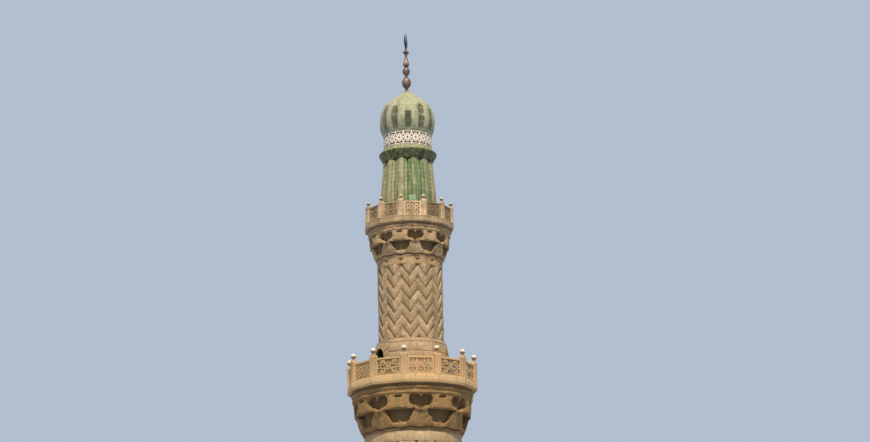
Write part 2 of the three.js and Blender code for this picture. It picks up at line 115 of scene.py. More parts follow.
class Shader:
    """A material's node tree, with short calls for the nodes that every surface here is mixed from."""

    def __init__(self, name, specular=0.25):
        self.material = bpy.data.materials.new(name)
        self.material.use_nodes = True
        self.nodes, self.links = self.material.node_tree.nodes, self.material.node_tree.links
        self.shader = self.nodes["Principled BSDF"]
        self.shader.inputs["Specular IOR Level"].default_value = specular
        self.where = self.nodes.new("ShaderNodeTexCoord").outputs["Object"]

    def put(self, value, socket):
        """Links another node's output to a socket, or sets a number, a list or a colour's tuple on it."""
        if hasattr(value, "links"):
            self.links.new(value, socket)
        else:
            socket.default_value = (*value, 1) if isinstance(value, tuple) else value

    def node(self, kind, output, inputs):
        """A new node with the inputs given, by the name of its output."""
        node = self.nodes.new("ShaderNode" + kind)
        for key, value in inputs.items():
            self.put(value, node.inputs[key])
        return node.outputs[output]

    def squashed(self, scale):
        return self.node("Mapping", "Vector", {"Vector": self.where, "Scale": list(scale)})

    def noise(self, scale, detail=6.0, squash=(1, 1, 1)):
        inputs = {"Vector": self.squashed(squash), "Scale": scale, "Detail": detail, "Roughness": 0.6}
        return self.node("TexNoise", "Fac", inputs)

    def pits(self, scale):
        return self.node("TexVoronoi", "Distance", {"Vector": self.where, "Scale": scale})

    def attribute(self, key):
        node = self.nodes.new("ShaderNodeAttribute")
        node.attribute_name = key
        return node.outputs["Fac"]

    def ranged(self, value, low, high, to_low=0.0, to_high=1.0):
        limits = {"From Min": low, "From Max": high, "To Min": to_low, "To Max": to_high}
        return self.node("MapRange", "Result", {"Value": value, **limits})

    def layered(self, color, layers):
        """Lays colours over a first one in turn. A layer is its colour, the value that lays it on, the low
        value where it starts, the high value where it is at its most, and that most as a share.
        """
        for over, value, low, high, most in layers:
            mix = self.nodes.new("ShaderNodeMix")
            mix.data_type = "RGBA"
            factor = self.ranged(value, low, high, 0.0, most)
            for source, socket in ((factor, 0), (color, 6), (over, 7)):
                self.put(source, mix.inputs[socket])
            color = mix.outputs[2]
        return color

    def finished(self, color, rough, bumps, strength, depth):
        """Links the colour and the roughness, and the sum of the bumps as the height of a bump node."""
        height = bumps[0]
        for part in bumps[1:]:
            height = self.node("Math", "Value", {0: height, 1: part})
        normal = self.node("Bump", "Normal", {"Strength": strength, "Distance": depth, "Height": height})
        for key, value in (("Base Color", color), ("Roughness", rough), ("Normal", normal)):
            self.put(value, self.shader.inputs[key])
        return self.material


def dimmed(color, share):
    return tuple(share * channel for channel in color)


def stone(name, lit, deep, pale, depth=0.02, stain=0.5, soil=None):
    """Weathered limestone: colours laid over a lit one by noise, and a bump of noise and pits.

    In turn they are deep patches, pale mottling, a warm flush, the colour of whole blocks by the tone
    attribute, streaks of noise stretched downwards, dark speckles, then a darkening colour where the mark
    attribute is over 0, which paints shade into hollows, grooves and under overhangs and also gives dark
    joints, darker panels and the neck's brown ground, and a pale colour where it is under 0, which paints the
    highlight on the balls' heads.
    """
    s = Shader(name)
    tone, mark = s.attribute("tone"), s.attribute("mark")
    color = s.layered(lit, [
        (deep, s.noise(1.7), 0.36, 0.64, 1.0),
        (pale, s.noise(11.0, 4.0), 0.44, 0.68, 0.75),
        ((1.12 * lit[0], lit[1], 0.96 * lit[2]), s.noise(1.3, 3.0), 0.50, 0.70, 0.6),
        (deep, tone, -1.0, 1.0, 0.8),
        (dimmed(deep, 0.45), s.noise(1.0, squash=(5.0, 5.0, 0.45)), 0.52, 0.78, stain),
        (dimmed(deep, 0.6), s.noise(24.0, 3.0), 0.52, 0.72, 0.5),
        # Painted shade: the darkening colour where the mark is over 0, which also gives dark joints and
        # grounds.
        (soil or dimmed(deep, 0.25), mark, 0.0, 1.0, 0.9),
        # Painted highlight: a pale colour where the mark is under 0, on the balls' heads.
        ((0.80, 0.76, 0.68), mark, 0.0, -1.0, 0.85),
    ])
    bumps = [
        s.ranged(s.noise(5.0, 8.0), 0.2, 0.8),
        s.ranged(s.noise(40.0, 5.0), 0.3, 0.8, 0.0, 0.45),
        s.ranged(s.pits(34.0), 0.0, 0.28, 0.0, 0.3),
    ]
    return s.finished(color, s.ranged(s.noise(14.0), 0.3, 0.7, 0.8, 0.97), bumps, 0.55, depth)


ASHLAR = stone("ashlar", (0.58, 0.40, 0.21), (0.42, 0.275, 0.135), (0.68, 0.50, 0.30))
MORTAR = stone("mortar", (0.26, 0.19, 0.12), (0.18, 0.125, 0.08), (0.32, 0.25, 0.165))
HALF_JOINT, BLOCK_BEVEL, BLOCK_PROUD, BLOCK_WEAR = 0.006, 0.012, 0.016, 0.0025


def block_rows(cells):
    """Rows of a block's grid one way: shares of its size, insets, and heights down the bevels."""
    middles = np.linspace(0, 1, cells + 1)[1:-1]
    share = np.concatenate([[0, 0, 0], middles, [1, 1, 1]])
    inset = np.concatenate([[0, 0, 1], 0 * middles, [-1, 0, 0]])
    step = np.concatenate([[-2, -0.6, 0], 0 * middles, [0, -0.6, -2]])
    return share, inset * BLOCK_BEVEL, step * BLOCK_BEVEL


def blocks(place, left, right, bottom, top, columns=2):
    """Worn block faces on a surface, for arrays of each block's left, right, bottom and top.

    Every block is a small grid. Its height over the surface is the lower of two bevelled steps, one across
    and one up, so that the rim drops behind the joint, and place(along, up, height) puts the grid in space.
    """
    (share_u, inset_u, step_u), (share_v, inset_v, step_v) = block_rows(columns), block_rows(2)
    left, right, bottom, top = (np.asarray(edge, float)[:, None, None] for edge in (left, right, bottom, top))
    along = left + (right - left) * share_u + inset_u + 0 * share_v[:, None]
    up = bottom + (top - bottom) * share_v[:, None] + inset_v[:, None] + 0 * share_u
    rise = np.minimum(step_u, step_v[:, None])
    count = len(left)
    shift = rng.normal(0, 0.35, (count, 1, 1)) * BLOCK_WEAR
    ragged = rng.normal(0, 1, along.shape) * BLOCK_WEAR * (rise > -BLOCK_BEVEL)
    points = place(along, up, BLOCK_PROUD + rise + np.minimum(shift + ragged, 0))
    each = grid_quads(share_v.size, share_u.size)
    quads = (each + share_u.size * share_v.size * np.arange(count)[:, None, None]).reshape(-1, 4)
    return points, quads, np.repeat(np.clip(rng.normal(-0.2, 0.5, count), -1, 1), len(each))


def running_bond(start, end, levels, length):
    """Edges of the blocks of level courses, each about one length long, with every second course shifted."""
    rows = []
    for course, (low, high) in enumerate(zip(levels[:-1], levels[1:])):
        widths = length * (1 + rng.uniform(-0.16, 0.16, max(1, round((end - start) / length)) + 1))
        widths[0] *= 0.55 if course % 2 else 1.0
        edges = start + np.append(0, np.cumsum(widths))
        edges = start + (edges - start) * (end - start) / (edges[-1] - start)
        rows += [(a, b, low, high) for a, b in zip(edges[:-1], edges[1:])]
    a, b, low, high = np.array(rows).T
    return a + HALF_JOINT, b - HALF_JOINT, low + HALF_JOINT, high - HALF_JOINT


def arch_stones(wall, half, sill, spring, jamb, count=9):
    """The surround of a doorway: stones up both jambs, and voussoirs within a square frame over them.

    A voussoir spans an angle round the arch's centre, from the opening's radius to the frame's edge.
    """
    levels = np.linspace(sill, spring, max(3, round((spring - sill) / 0.38) + 1))
    low, high = levels[:-1] + HALF_JOINT, levels[1:] - HALF_JOINT
    near, far = half + 0 * low, half + jamb + 0 * low
    stones = [blocks(wall, near, far, low, high), blocks(wall, -far, -near, low, high)]
    frame_half = half + jamb

    def voussoir(angle, share, height):
        across = np.abs(np.sin(angle)) / frame_half
        limit = 1 / np.maximum(across, np.abs(np.cos(angle)) / frame_half)
        radius = half + np.clip(share, 0, 1) * (limit - half)
        return wall(radius * np.sin(angle), spring + radius * np.cos(angle), height)

    edges, gap, flat = np.linspace(-np.pi / 2, np.pi / 2, count + 1), HALF_JOINT / half, np.zeros(count)
    return stones + [blocks(voussoir, edges[:-1] + gap, edges[1:] - gap, flat, flat + 1, columns=4)]


BASE_HALF, SOCLE_HALF, BASE_INNER = 2.5, 2.56, 1.8
BASE_TOP, SOCLE_TOP = 9.8, 0.64
DOOR_HALF, DOOR_SPRING, DOOR_JAMB = 0.475, 1.9, 0.42


def face_of(turns, half):
    """place() for a flat face at a distance from the axis, turned by quarter turns from the front."""
    def place(along, up, height):
        x, y = along, -(half - BLOCK_PROUD + height)
        for _ in range(turns):
            x, y = -y, x
        return joined(x, y, up)
    return place


def walls(outer, inner, bottom, top, hole):
    """Four walls round a square room as boxes, with a gap of half width hole in the back one."""
    plans = [(-outer, outer, -outer, -inner), (-outer, -inner, -inner, inner), (inner, outer, -inner, inner)]
    plans += [(-outer, -hole, inner, outer), (hole, outer, inner, outer)]
    return [cuboid(*plan, bottom, top) for plan in plans]


core_half = BASE_HALF - BLOCK_PROUD
base_core = walls(core_half, BASE_INNER, 0, BASE_TOP, DOOR_HALF)
frame_edge = DOOR_HALF + DOOR_JAMB + HALF_JOINT
base_core += walls(SOCLE_HALF - BLOCK_PROUD, BASE_INNER, 0, SOCLE_TOP - BLOCK_PROUD, frame_edge)
arch = np.linspace(-np.pi / 2, np.pi / 2, 25)
arch_x, arch_z = DOOR_HALF * np.sin(arch), DOOR_SPRING + DOOR_HALF * np.cos(arch)
rows = [(core_half, arch_z), (core_half, BASE_TOP), (BASE_INNER, BASE_TOP), (BASE_INNER, arch_z)]
over = np.concatenate([joined(-arch_x, y, z) for y, z in rows])
base_core.append((over, grid_quads(4, arch.size, closed_rows=True), 0.0))

masonry = []
frame_top = DOOR_SPRING + DOOR_HALF + DOOR_JAMB
lower_levels = np.linspace(SOCLE_TOP, frame_top, 6)
upper_levels = np.linspace(frame_top, BASE_TOP, 19)
for turns in range(4):
    if turns == 2:
        spans = [(-BASE_HALF, -frame_edge), (frame_edge, BASE_HALF)]
        feet = [(-SOCLE_HALF, -frame_edge), (frame_edge, SOCLE_HALF)]
    else:
        spans, feet = [(-BASE_HALF, BASE_HALF)], [(-SOCLE_HALF, SOCLE_HALF)]
    bonds = [running_bond(*span, lower_levels, 0.78) for span in spans]
    bonds.append(running_bond(-BASE_HALF, BASE_HALF, upper_levels, 0.78))
    masonry.append(blocks(face_of(turns, BASE_HALF), *np.concatenate(bonds, 1)))
    bonds = [running_bond(*span, [0.0, SOCLE_TOP / 2, SOCLE_TOP], 1.1) for span in feet]
    masonry.append(blocks(face_of(turns, SOCLE_HALF), *np.concatenate(bonds, 1), columns=3))
masonry += arch_stones(face_of(2, BASE_HALF + 0.02), DOOR_HALF, 0.01, DOOR_SPRING, DOOR_JAMB)

base_nodes = [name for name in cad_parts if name.startswith("base_wall")]
new_piece("base_core", base_core, MORTAR, base_nodes)
new_piece("base_masonry", masonry, ASHLAR)
dress("base_floor", ASHLAR)

# Shoulder
# Three courses of slanting limestone blocks bring the square base in to the round of the shaft. They lie on a
# core like the walls below, and the topmost course is cut to the shaft's circle.

SHOULDER_FOOT, SHOULDER_TOP, SHOULDER_RADIUS = 9.92, 10.70, 1.89
DEGREE_LENGTH = 0.0425
SHAFT_BORE = 1.20


def around(angles, radii, heights):
    """Points about the axis for rows of heights by columns of angles: x = r sin a, y = -r cos a."""
    a = np.radians(angles)
    return joined(radii * np.sin(a), -radii * np.cos(a), heights)


def square_reach(angles):
    """Distance from the axis to the base's square edge at each angle."""
    a = np.radians(angles)
    return BASE_HALF / np.maximum(np.abs(np.sin(a)), np.abs(np.cos(a)))


def shoulder(along, share, height):
    """The shoulder's surface: the radius goes from the square's edge to the circle as the height grows."""
    angles, share = along / DEGREE_LENGTH, np.clip(share, 0, 1)
    radius = square_reach(angles) * (1 - share) + SHOULDER_RADIUS * share - BLOCK_PROUD + height
    return around(angles, radius, SHOULDER_FOOT + (SHOULDER_TOP - SHOULDER_FOOT) * share)


columns = np.linspace(-45, 315, 97)[:-1]
rings = [around(columns, square_reach(columns) - BLOCK_PROUD, BASE_TOP)]
rings += [shoulder(columns * DEGREE_LENGTH, share, 0.0) for share in np.linspace(0, 1, 7)]
rings += [around(columns, SHAFT_BORE, level) for level in (SHOULDER_TOP, BASE_TOP)]
core = np.concatenate(rings), grid_quads(len(rings), columns.size, closed_rows=True, closed_columns=True), 0.0
bonds = []
for course in range(3):
    for side in range(4):
        edges = (np.linspace(-45, 45, 6 + course % 2) + 90 * side) * DEGREE_LENGTH
        flat = np.zeros(edges.size - 1)
        low, high = flat + course / 3 + HALF_JOINT, flat + (course + 1) / 3 - HALF_JOINT
        bonds.append([edges[:-1] + HALF_JOINT, edges[1:] - HALF_JOINT, low, high])
new_piece("shoulder_core", [core], MORTAR, ["base_shoulder"])
new_piece("shoulder_masonry", [blocks(shoulder, *np.concatenate(bonds, 1), columns=4)], ASHLAR)

# First shaft
# A round wall of ashlar, carved with bold zigzag courses between a moulded foot and a plain band under the
# balcony. Each course's stones are cut to lean out upwards, from a deep foot to a proud top edge.

SHAFT_RADIUS, SHAFT_TOP = 1.83, 15.43
FOOT_TOP, CARVING_BOTTOM, CARVING_TOP = 11.03, 12.10, 15.03
ZIGZAG_AT = np.array([0, 0.03, 0.07, 0.13, 0.21, 0.31, 0.43, 0.56, 0.70, 0.82, 0.90, 0.935, 0.96, 0.98])
ZIGZAG_CUT = np.array([1, 0.95, 0.86, 0.72, 0.55, 0.38, 0.22, 0.10, 0.03, 0, 0, 0.03, 0.22, 0.62])
PERIOD_COLUMNS = 24


def round_from(start, columns):
    """Angles of evenly spaced columns all the way round, from the first one's."""
    return start + np.arange(columns) * 360 / columns


def lathe(profile, columns=96, closed=True):
    """A ring turned about the axis from (radius, height) points, up the outside and down the inside."""
    radii, heights = np.array(profile, float).T[:, :, None]
    points = around(round_from(0, columns), radii, heights)
    return points, grid_quads(len(profile), columns, closed, True), 0.0


def on_cylinder(radius):
    """place() for a cylinder, with distances along it counted from the front."""
    return lambda along, up, height: around(np.degrees(along / radius), radius - BLOCK_PROUD + height, up)


def roughness(angles, radii, heights, wavelength, seed):
    """A smooth random field of about -1 to 1: the scaled mean of sixteen sine waves in random directions."""
    local = np.random.default_rng(seed)
    waves = local.normal(size=(16, 3))
    lengths = np.linalg.norm(waves, axis=1)[:, None]
    waves *= 2 * np.pi / wavelength * local.uniform(0.6, 1.7, (16, 1)) / lengths
    field = np.sin(around(angles, radii, heights) @ waves.T + local.uniform(0, 2 * np.pi, 16)).mean(1) * 2.6
    return field.reshape(-1, angles.size)


def bell(value, middle, width):
    """1 where a value is at the middle, falling off to both sides as exp(-(distance / width) squared)."""
    return np.exp(-(((value - middle) / width) ** 2))


def ring_wall(angles, radii, heights, inside, mark):
    """A closed ring wall from the outer face's grid and its marks, and (radius, height) rows down the inside.

    Returns the points, the quads, each quad's row and column, and the marks, which are 0 inside.
    """
    points = np.concatenate([around(angles, radii, heights)] + [around(angles, *row) for row in inside])
    quads = grid_quads(len(mark) + len(inside), angles.size, True, True)
    mark = np.append(mark, np.zeros(len(inside) * angles.size))
    return points, quads, *np.divmod(np.arange(len(quads)), angles.size), mark


def zigzags(bottom, top, radius, bore, periods, valley, rise, pitch, level, depth, seed):
    """Carved zigzag courses as one ring wall.

    A row of points keeps its place t in the courses and stands at z = t + rise x (0 at a valley to 1 at a
    peak) plus a slow wobble, held between bottom and top. Its radius is the section's, read at the held z
    less the rise, then chipped at the edges and worn by noise, and hollowed over most peaks. Faces that the
    holding leaves without height are dropped. The mark is painted shade that grows with the depth of the cut
    and at the grooves, most in the valleys and least on the flanks that rise to the right, and takes in
    hollows; it also darkens the rough edges.
    """
    local = np.random.default_rng(seed)
    angles = round_from(valley, periods * PERIOD_COLUMNS)
    period, flank = np.arange(angles.size) // PERIOD_COLUMNS, np.arange(angles.size) * 2 // PERIOD_COLUMNS
    turn = (angles - valley) * periods / 360 % 1
    first, last = np.floor((bottom - rise - level) / pitch), np.ceil((top - level) / pitch)
    places = (np.arange(first, last)[:, None] + ZIGZAG_AT).ravel()[:, None]
    course = (np.arange(places.size) // ZIGZAG_AT.size)[:, None]
    row_levels = level + pitch * places
    lift = rise * (1 - np.abs(turn * 2 - 1)) + roughness(angles, radius, row_levels, 0.7, seed + 2) * 0.014
    heights = np.clip(row_levels + lift, bottom, top)
    share = (heights - lift - level) / pitch % 1
    cut = np.interp(share, np.append(ZIGZAG_AT, 1), np.append(ZIGZAG_CUT, ZIGZAG_CUT[0]))
    rough = roughness(angles, radius, heights, 0.13, seed)
    edges = bell(share, 0.93, 0.06)
    chips = np.clip(rough - 0.25, 0, 0.7) * 0.030 * edges + np.clip(rough - 0.72, 0, 0.3) * 0.09 * (cut < 0.5)
    wear = np.clip(roughness(angles, radius, heights, 0.45, seed + 1), 0, 1) * 0.012
    stones = int(last - first), 2 * periods
    stones_out = np.clip(local.normal(0, 0.004, stones), -0.009, 0.002)[course, flank]
    hollowed = local.uniform(0.0, 1.0, (stones[0], periods))[course, period]
    off_peak = np.abs(turn - 0.5) * 2 * np.pi * radius / periods
    hollow = hollowed * np.clip(1.15 - np.hypot(off_peak / 0.10, (share - 0.13) * pitch / 0.08), 0, 1)
    radii = radius - depth * cut - chips - wear + stones_out - 0.035 * hollow
    # Painted shade: the mark's weight by flank and valley follows the light, darkest in the valleys and on
    # the flanks that fall to the right.
    painted_flank_shade = 0.8 + 0.25 * (turn > 0.5) + 1.3 * bell(np.minimum(turn, 1 - turn), 0, 0.10)
    groove = bell(np.minimum(share, 1 - share), 0, 0.055)
    mark = (0.48 * np.clip(cut - 0.12, 0, 1) ** 1.5 + 0.32 * groove) * painted_flank_shade + 0.35 * hollow
    mark = np.clip(mark + (0.12 + 0.35 * np.clip(rough - 0.1, 0, 1)) * edges, 0, 1)
    points, quads, row, column, mark = ring_wall(angles, radii, heights, [(bore, top), (bore, bottom)], mark)
    corners = np.append(heights, np.full(2 * angles.size, np.nan))[quads]
    flat = (corners[:, 3] == corners[:, 0]) & (corners[:, 2] == corners[:, 1])
    shades = local.normal(0.12, 0.85, stones)
    tone = np.clip(shades[np.minimum(row, places.size - 1) // ZIGZAG_AT.size, flank[column]], -1, 1)
    return points, quads[~flat], tone[~flat], mark


# Its darkening colour paints the shade in the zigzags' cuts, grooves and hollows, and darkens their rough
# edges.
CARVED = stone("carved_stone", (0.64, 0.42, 0.225), (0.38, 0.26, 0.13), (0.80, 0.57, 0.36), depth=0.045,
               stain=0.55, soil=(0.15, 0.09, 0.035))

moulding = [(SHOULDER_RADIUS, SHOULDER_TOP), (SHOULDER_RADIUS, 10.90), (1.882, 10.93), (1.86, 10.95)]
moulding += [(1.855, 11.0), (1.825, FOOT_TOP), (SHAFT_BORE, FOOT_TOP), (SHAFT_BORE, SHOULDER_TOP)]
cores, courses = [], []
for bottom, top, count in ((FOOT_TOP, CARVING_BOTTOM, 3), (CARVING_TOP, SHAFT_TOP, 1)):
    inner = SHAFT_RADIUS - BLOCK_PROUD
    cores.append(lathe([(inner, bottom), (inner, top), (SHAFT_BORE, top), (SHAFT_BORE, bottom)]))
    bond = running_bond(0, 2 * np.pi * SHAFT_RADIUS, np.linspace(bottom, top, count + 1), 0.72)
    courses.append(blocks(on_cylinder(SHAFT_RADIUS), *bond))
carving = zigzags(CARVING_BOTTOM, CARVING_TOP, SHAFT_RADIUS, SHAFT_BORE, periods=16, valley=4.0, rise=0.42,
                  pitch=0.575, level=12.1, depth=0.08, seed=31)
new_piece("first_shaft_foot", [lathe(moulding)], ASHLAR)
new_piece("first_shaft_core", cores, MORTAR)
new_piece("first_shaft_courses", courses, ASHLAR)
new_piece("first_shaft_zigzags", [carving], CARVED, ["first_shaft"])

# Lower corbel
# Courses of carved limestone brackets, each reaching out past the one below, carry the balcony round the
# shaft's head. Between the brackets are double niches like hearts, and under them pendants that widen
# downwards between hoods.

BRACKET_LINE = [
    (0, 0.03), (0.012, 0.09), (0.032, 0.10), (0.042, 0.0), (0.056, 0.03), (0.066, 0.17), (0.08, 0.22),
    (0.12, 0.28), (0.18, 0.36), (0.25, 0.44), (0.40, 0.58), (0.436, 0.63), (0.442, 0.69), (0.456, 0.71),
    (0.765, 0.77), (0.773, 0.85), (0.785, 0.88), (0.825, 0.885), (0.835, 0.80), (0.85, 0.81), (0.88, 0.88),
    (0.895, 0.93), (0.922, 0.94), (0.932, 0.80), (0.95, 0.79), (0.975, 0.84), (1.0, 0.90),
]
HOOD_LINE = [
    (0.05, 0.03), (0.068, 0.15), (0.08, 0.20), (0.13, 0.235), (0.15, 0.16), (0.19, 0.11), (0.44, 0.13),
]
CORBEL_UNITS, CORBEL_COLUMNS, CORBEL_REACH, NICHE_ANGLE = 8, 720, 0.95, 8.5


def ramp(value, start, length):
    """0 up to a start, then a straight rise to 1 over a length; a negative length runs the other way."""
    return np.clip((value - start) / length, 0, 1)


def nearness(distance, reach):
    """1 at no distance, falling straight to 0 at a reach."""
    return np.clip(1 - distance / reach, 0, 1)


def brackets(bottom, top, shaft_radius, corner, bore, seed):
    """A corbel's carved face as one ring wall, from its outline in shares of the reach and the rise.

    Across, u runs from 0 at a niche's middle to 1 at a bracket's. The tier's lower edge drops towards u = 0.
    A niche is the union of two ellipses side by side and a wedge down to its tip, sunk where its signed
    distance is positive. Outside the pendant's half width, which grows downwards from a narrow head, the face
    goes back to the hood's own outline. A drop is sunk under each niche, and a notch in each head. The mark
    paints shade into all of these and into the top rows under the kerb, and darkens the joints.
    """
    reach = corner * CORBEL_REACH - shaft_radius
    angles = round_from(NICHE_ANGLE, CORBEL_COLUMNS)
    share = np.concatenate([np.linspace(0, 1, 100), [height for height, _ in BRACKET_LINE + HOOD_LINE]])
    share = np.unique(np.round(share, 4))[:, None]
    heights = bottom + (top - bottom) * share
    u = np.abs(((angles - NICHE_ANGLE) * CORBEL_UNITS / 360 + 0.5) % 1 - 0.5) * 2
    u = np.abs(u + roughness(angles, shaft_radius, heights, 0.3, seed + 2) * 0.05)
    sag = roughness(angles, shaft_radius, heights, 0.45, seed + 3) * 0.008
    wave = sag + 0.014 * np.cos(2 * np.pi * u) * bell(share, 0.05, 0.05)
    scallop = 0.045 * nearness(u, 0.42) ** 0.8 * bell(share, 0.42, 0.05)
    out = np.interp(share + wave + scallop, *np.array(BRACKET_LINE).T)
    q, v = u / 0.54, (share - 0.42) / 0.34
    lobes = 1 - np.hypot((q - 0.46) / 0.54, (v - 0.62) / 0.38)
    wedge = np.where(v < 0.62, (np.clip(v / 0.62, 0, 1) ** 0.75 - q) * 0.8, -1)
    tongue = ramp(q, 0.13 * ramp(v, 0.62, 0.3) ** 0.7, -0.05)
    niche = ramp(np.maximum(lobes, wedge), 0, 0.08) * (v > -0.05) * (1 - tongue)
    t = ramp(share, 0.448, -0.29)
    hood = ramp(u, 0.22 + 0.36 * t**0.8 + 0.06 * t**6, 0.03) * (share < 0.4415)
    drop = ramp(np.hypot(u / 0.055, (share - 0.385) / 0.03), 1, -0.3)
    notch = ramp(np.hypot((1 - u) / 0.20, (share - 0.71) / 0.036), 1, -0.2)
    edge = ramp(u, 0.60, 0.02) * (share > 0.46) * (share < 0.766) * 0.045
    ridge = bell(u, 1, 0.07)
    out += hood * (np.interp(share + wave, *np.array(HOOD_LINE).T) - out + 0.08 * ridge * (share > 0.16))
    sunk = 0.46 * niche * (1 - 0.25 * np.clip(v, 0, 1)) + 0.18 * notch + 0.10 * drop
    radii = shaft_radius + reach * (out - sunk + edge)
    worn = np.clip(roughness(angles, radii, heights, 0.3, seed), 0, 1) * 0.008
    chips = np.clip(roughness(angles, radii, heights, 0.15, seed + 1) - 0.6, 0, 0.4) * 0.06
    # Painted shade: the niches, hoods, notches and drops are darkened, and so are the rows past share 0.925
    # under the kerb; the joint at the foot and the drips are darkened as stains.
    joint = bell(share + wave, 0.048, 0.017) + 0.45 * (share > 0.925)
    painted_recess_shade = 0.84 * niche + hood * ramp(share, 0.15, 0.05) * (0.84 - 0.25 * ridge)
    drips = 0.35 * bell(share, 0.47, 0.03) * (u > 0.5)
    mark = np.clip(painted_recess_shade + 0.7 * notch + 0.6 * drop + joint + drips, 0, 1)
    inside = [(bore, top), (bore, bottom)]
    points, quads, row, column, mark = ring_wall(angles, radii - (worn + chips), heights, inside, mark)
    course = np.append(np.searchsorted([0.045, 0.14, 0.44, 0.77, 0.93], share.ravel()), [5, 5])[row]
    shades = np.random.default_rng(seed).normal(-0.25, 0.6, (6, 2 * CORBEL_UNITS))
    return points, quads, np.clip(shades[course, column * 2 * CORBEL_UNITS // CORBEL_COLUMNS], -1, 1), mark


LOWER_SLAB, LOWER_CORNER = 17.13, 2.46
# Painted shade: a darker copy of the carved stone, for the corbel in the shade under the lower balcony.
SHADED_STONE = stone("painted_shade_stone", (0.41, 0.24, 0.088), (0.28, 0.155, 0.055), (0.44, 0.28, 0.13),
                  depth=0.03, stain=0.6, soil=(0.14, 0.086, 0.038))
carving = brackets(SHAFT_TOP, LOWER_SLAB, SHAFT_RADIUS, LOWER_CORNER, SHAFT_BORE, seed=41)
new_piece("lower_corbel_carving", [carving], SHADED_STONE, ["lower_corbel"])

# Lower balcony
# The floor is a twelve-sided slab. Its parapet is newer, warmer stone: a kerb, posts with balls at the
# corners, and between them framed panels cut right through in scrolls, stars and knots.

WARM = stone("warm_stone", (0.66, 0.385, 0.175), (0.49, 0.32, 0.155), (0.68, 0.43, 0.22), depth=0.012,
             stain=0.25)
SIDE_ANGLE, HALF_SIDE, FRONT_SIDE = 30, np.pi / 12, 12
KERB_STONES = [(0.12, 9.9), (10.1, 19.9), (20.1, 29.88)]
STRAP_EASE, POST_EASE = 0.3, 0.012


def placed(points, angle, distance):
    """Points drawn as x along a side, y out and z up, moved out from the axis and turned to an angle."""
    a = np.radians(angle)
    x, y, z = points.T
    y = y + distance
    return joined(x * np.cos(a) + y * np.sin(a), x * np.sin(a) - y * np.cos(a), z)


def strap(path, closed, half_width, front, back):
    """A bar with eased front edges along a path of (x, z) points, its section square to the path."""
    tangent = np.roll(path, -1, 0) - np.roll(path, 1, 0) if closed else np.gradient(path, axis=0)
    tangent /= np.linalg.norm(tangent, axis=1)[:, None]
    across = np.array([-1, -1, -1 + STRAP_EASE, 1 - STRAP_EASE, 1, 1]) * half_width
    eased = front - STRAP_EASE * half_width
    x = path[:, :1] + tangent[:, 1:] * across
    z = path[:, 1:] - tangent[:, :1] * across
    return joined(x, [back, eased, front, front, eased, back], z), grid_quads(len(path), 6, closed, True)


def line(x, z):
    """An open path through points, with False for a path that isn't closed."""
    return np.stack([x, z], -1), False


def circle(x, z, radius, points):
    """A closed path round a middle, with True for a closed one."""
    turn = np.linspace(0, 2 * np.pi, points, endpoint=False)
    return np.stack([x + radius * np.sin(turn), z + radius * np.cos(turn)], -1), True


def scrolls(width, height):
    """Four curls that wind in from a big cross of S-curves, with a lozenge in the middle."""
    t, turn = np.linspace(-1, 1, 33), np.linspace(0, 1, 34)
    paths = [line(t * width, sign * height * np.sin(np.pi / 2 * t)) for sign in (1, -1)]
    radius, angle = height * (0.46 - 0.36 * turn), 2 * np.pi * 1.35 * turn
    for side in (-1, 1):
        x = side * (width * 0.52 + radius * np.cos(angle))
        paths += [line(x, up * (height * 0.50 + radius * np.sin(angle))) for up in (-1, 1)]
        paths.append(circle(side * width * 0.86, 0, height * 0.24, 20))
    lozenge = np.array([(0, 0.62), (0.26, 0), (0, -0.62), (-0.26, 0)]) * height
    return paths + [(lozenge, True)]


def stars(width, height):
    """A net of crossing zigzags in two rows, with a ring on every crossing line between them."""
    cells = max(2, round(width / height * 1.6))
    x = np.linspace(-1, 1, 2 * cells + 1)
    paths = []
    for centre in (-0.5, 0.5):
        for sign in (1, -1):
            z = centre + 0.5 * sign * np.where(np.arange(x.size) % 2, 1, -1)
            paths.append(line(x * width, z * height))
        paths += [circle(place * width, centre * height, height * 0.20, 16) for place in x[1:-1:2]]
    return paths + [line([-width, 0, width], [0, 0, 0])]


def knots(width, height):
    """Two rows of linked rings, tied by waves that pass over and under between the rows."""
    count = max(3, round(width / height * 2.1))
    places = (np.arange(count) + 0.5) / count * 2 - 1
    paths = []
    for centre in (-0.52, 0.52):
        paths += [circle(place * width, centre * height, width / count * 1.12, 22) for place in places]
    t = np.linspace(-1, 1, 61)
    paths += [line(t * width, sign * 0.34 * height * np.cos(np.pi * count * (t + 1) / 2)) for sign in (1, -1)]
    return paths + [line([place * width, place * width], [-height, height]) for place in places[::2]]


def crosses(width, height):
    """A large saltire with a ring at its middle, and half rings that lean in from all four sides."""
    paths = [line([-width, 0, width], [-sign * height, 0, sign * height]) for sign in (1, -1)]
    half = np.linspace(0, np.pi, 19)
    for side in (-1, 1):
        paths.append(line(side * (width - 0.62 * width * np.sin(half)), 0.72 * height * np.cos(half)))
        paths.append(line(0.60 * width * np.cos(half), side * (height - 0.70 * height * np.sin(half))))
    return paths + [circle(0, 0, height * 0.26, 22), circle(0, 0, height * 0.52, 28)]


def nets(width, height, spacing=0.155):
    """Slanting bars both ways at even spacing, cut off at the frame, and a ring in the middle."""
    paths = []
    count = int((width + height) / spacing)
    for offset in np.arange(-count, count + 1) * spacing:
        ends = np.array([max(-width, -height - offset), min(width, height - offset)])
        if ends[1] - ends[0] > 0.03:
            paths += [line(ends, ends + offset), line(-ends, ends + offset)]
    return paths + [circle(0, 0, height * 0.45, 24)]


BALL_LINE = [
    (0.80, -0.60), (0.96, -0.32), (1.0, -0.10), (0.99, 0.08), (0.92, 0.34), (0.76, 0.60), (0.52, 0.79),
    (0.25, 0.90), (1e-4, 0.94),
]
POST_OUTLINE = [
    (-1, 1, 1, 0), (1, 1, -1, 0), (1, 1, 0, -1), (1, -1, 0, 1), (1, -1, -1, 0), (-1, -1, 1, 0),
    (-1, -1, 0, 1), (-1, 1, 0, -1),
]


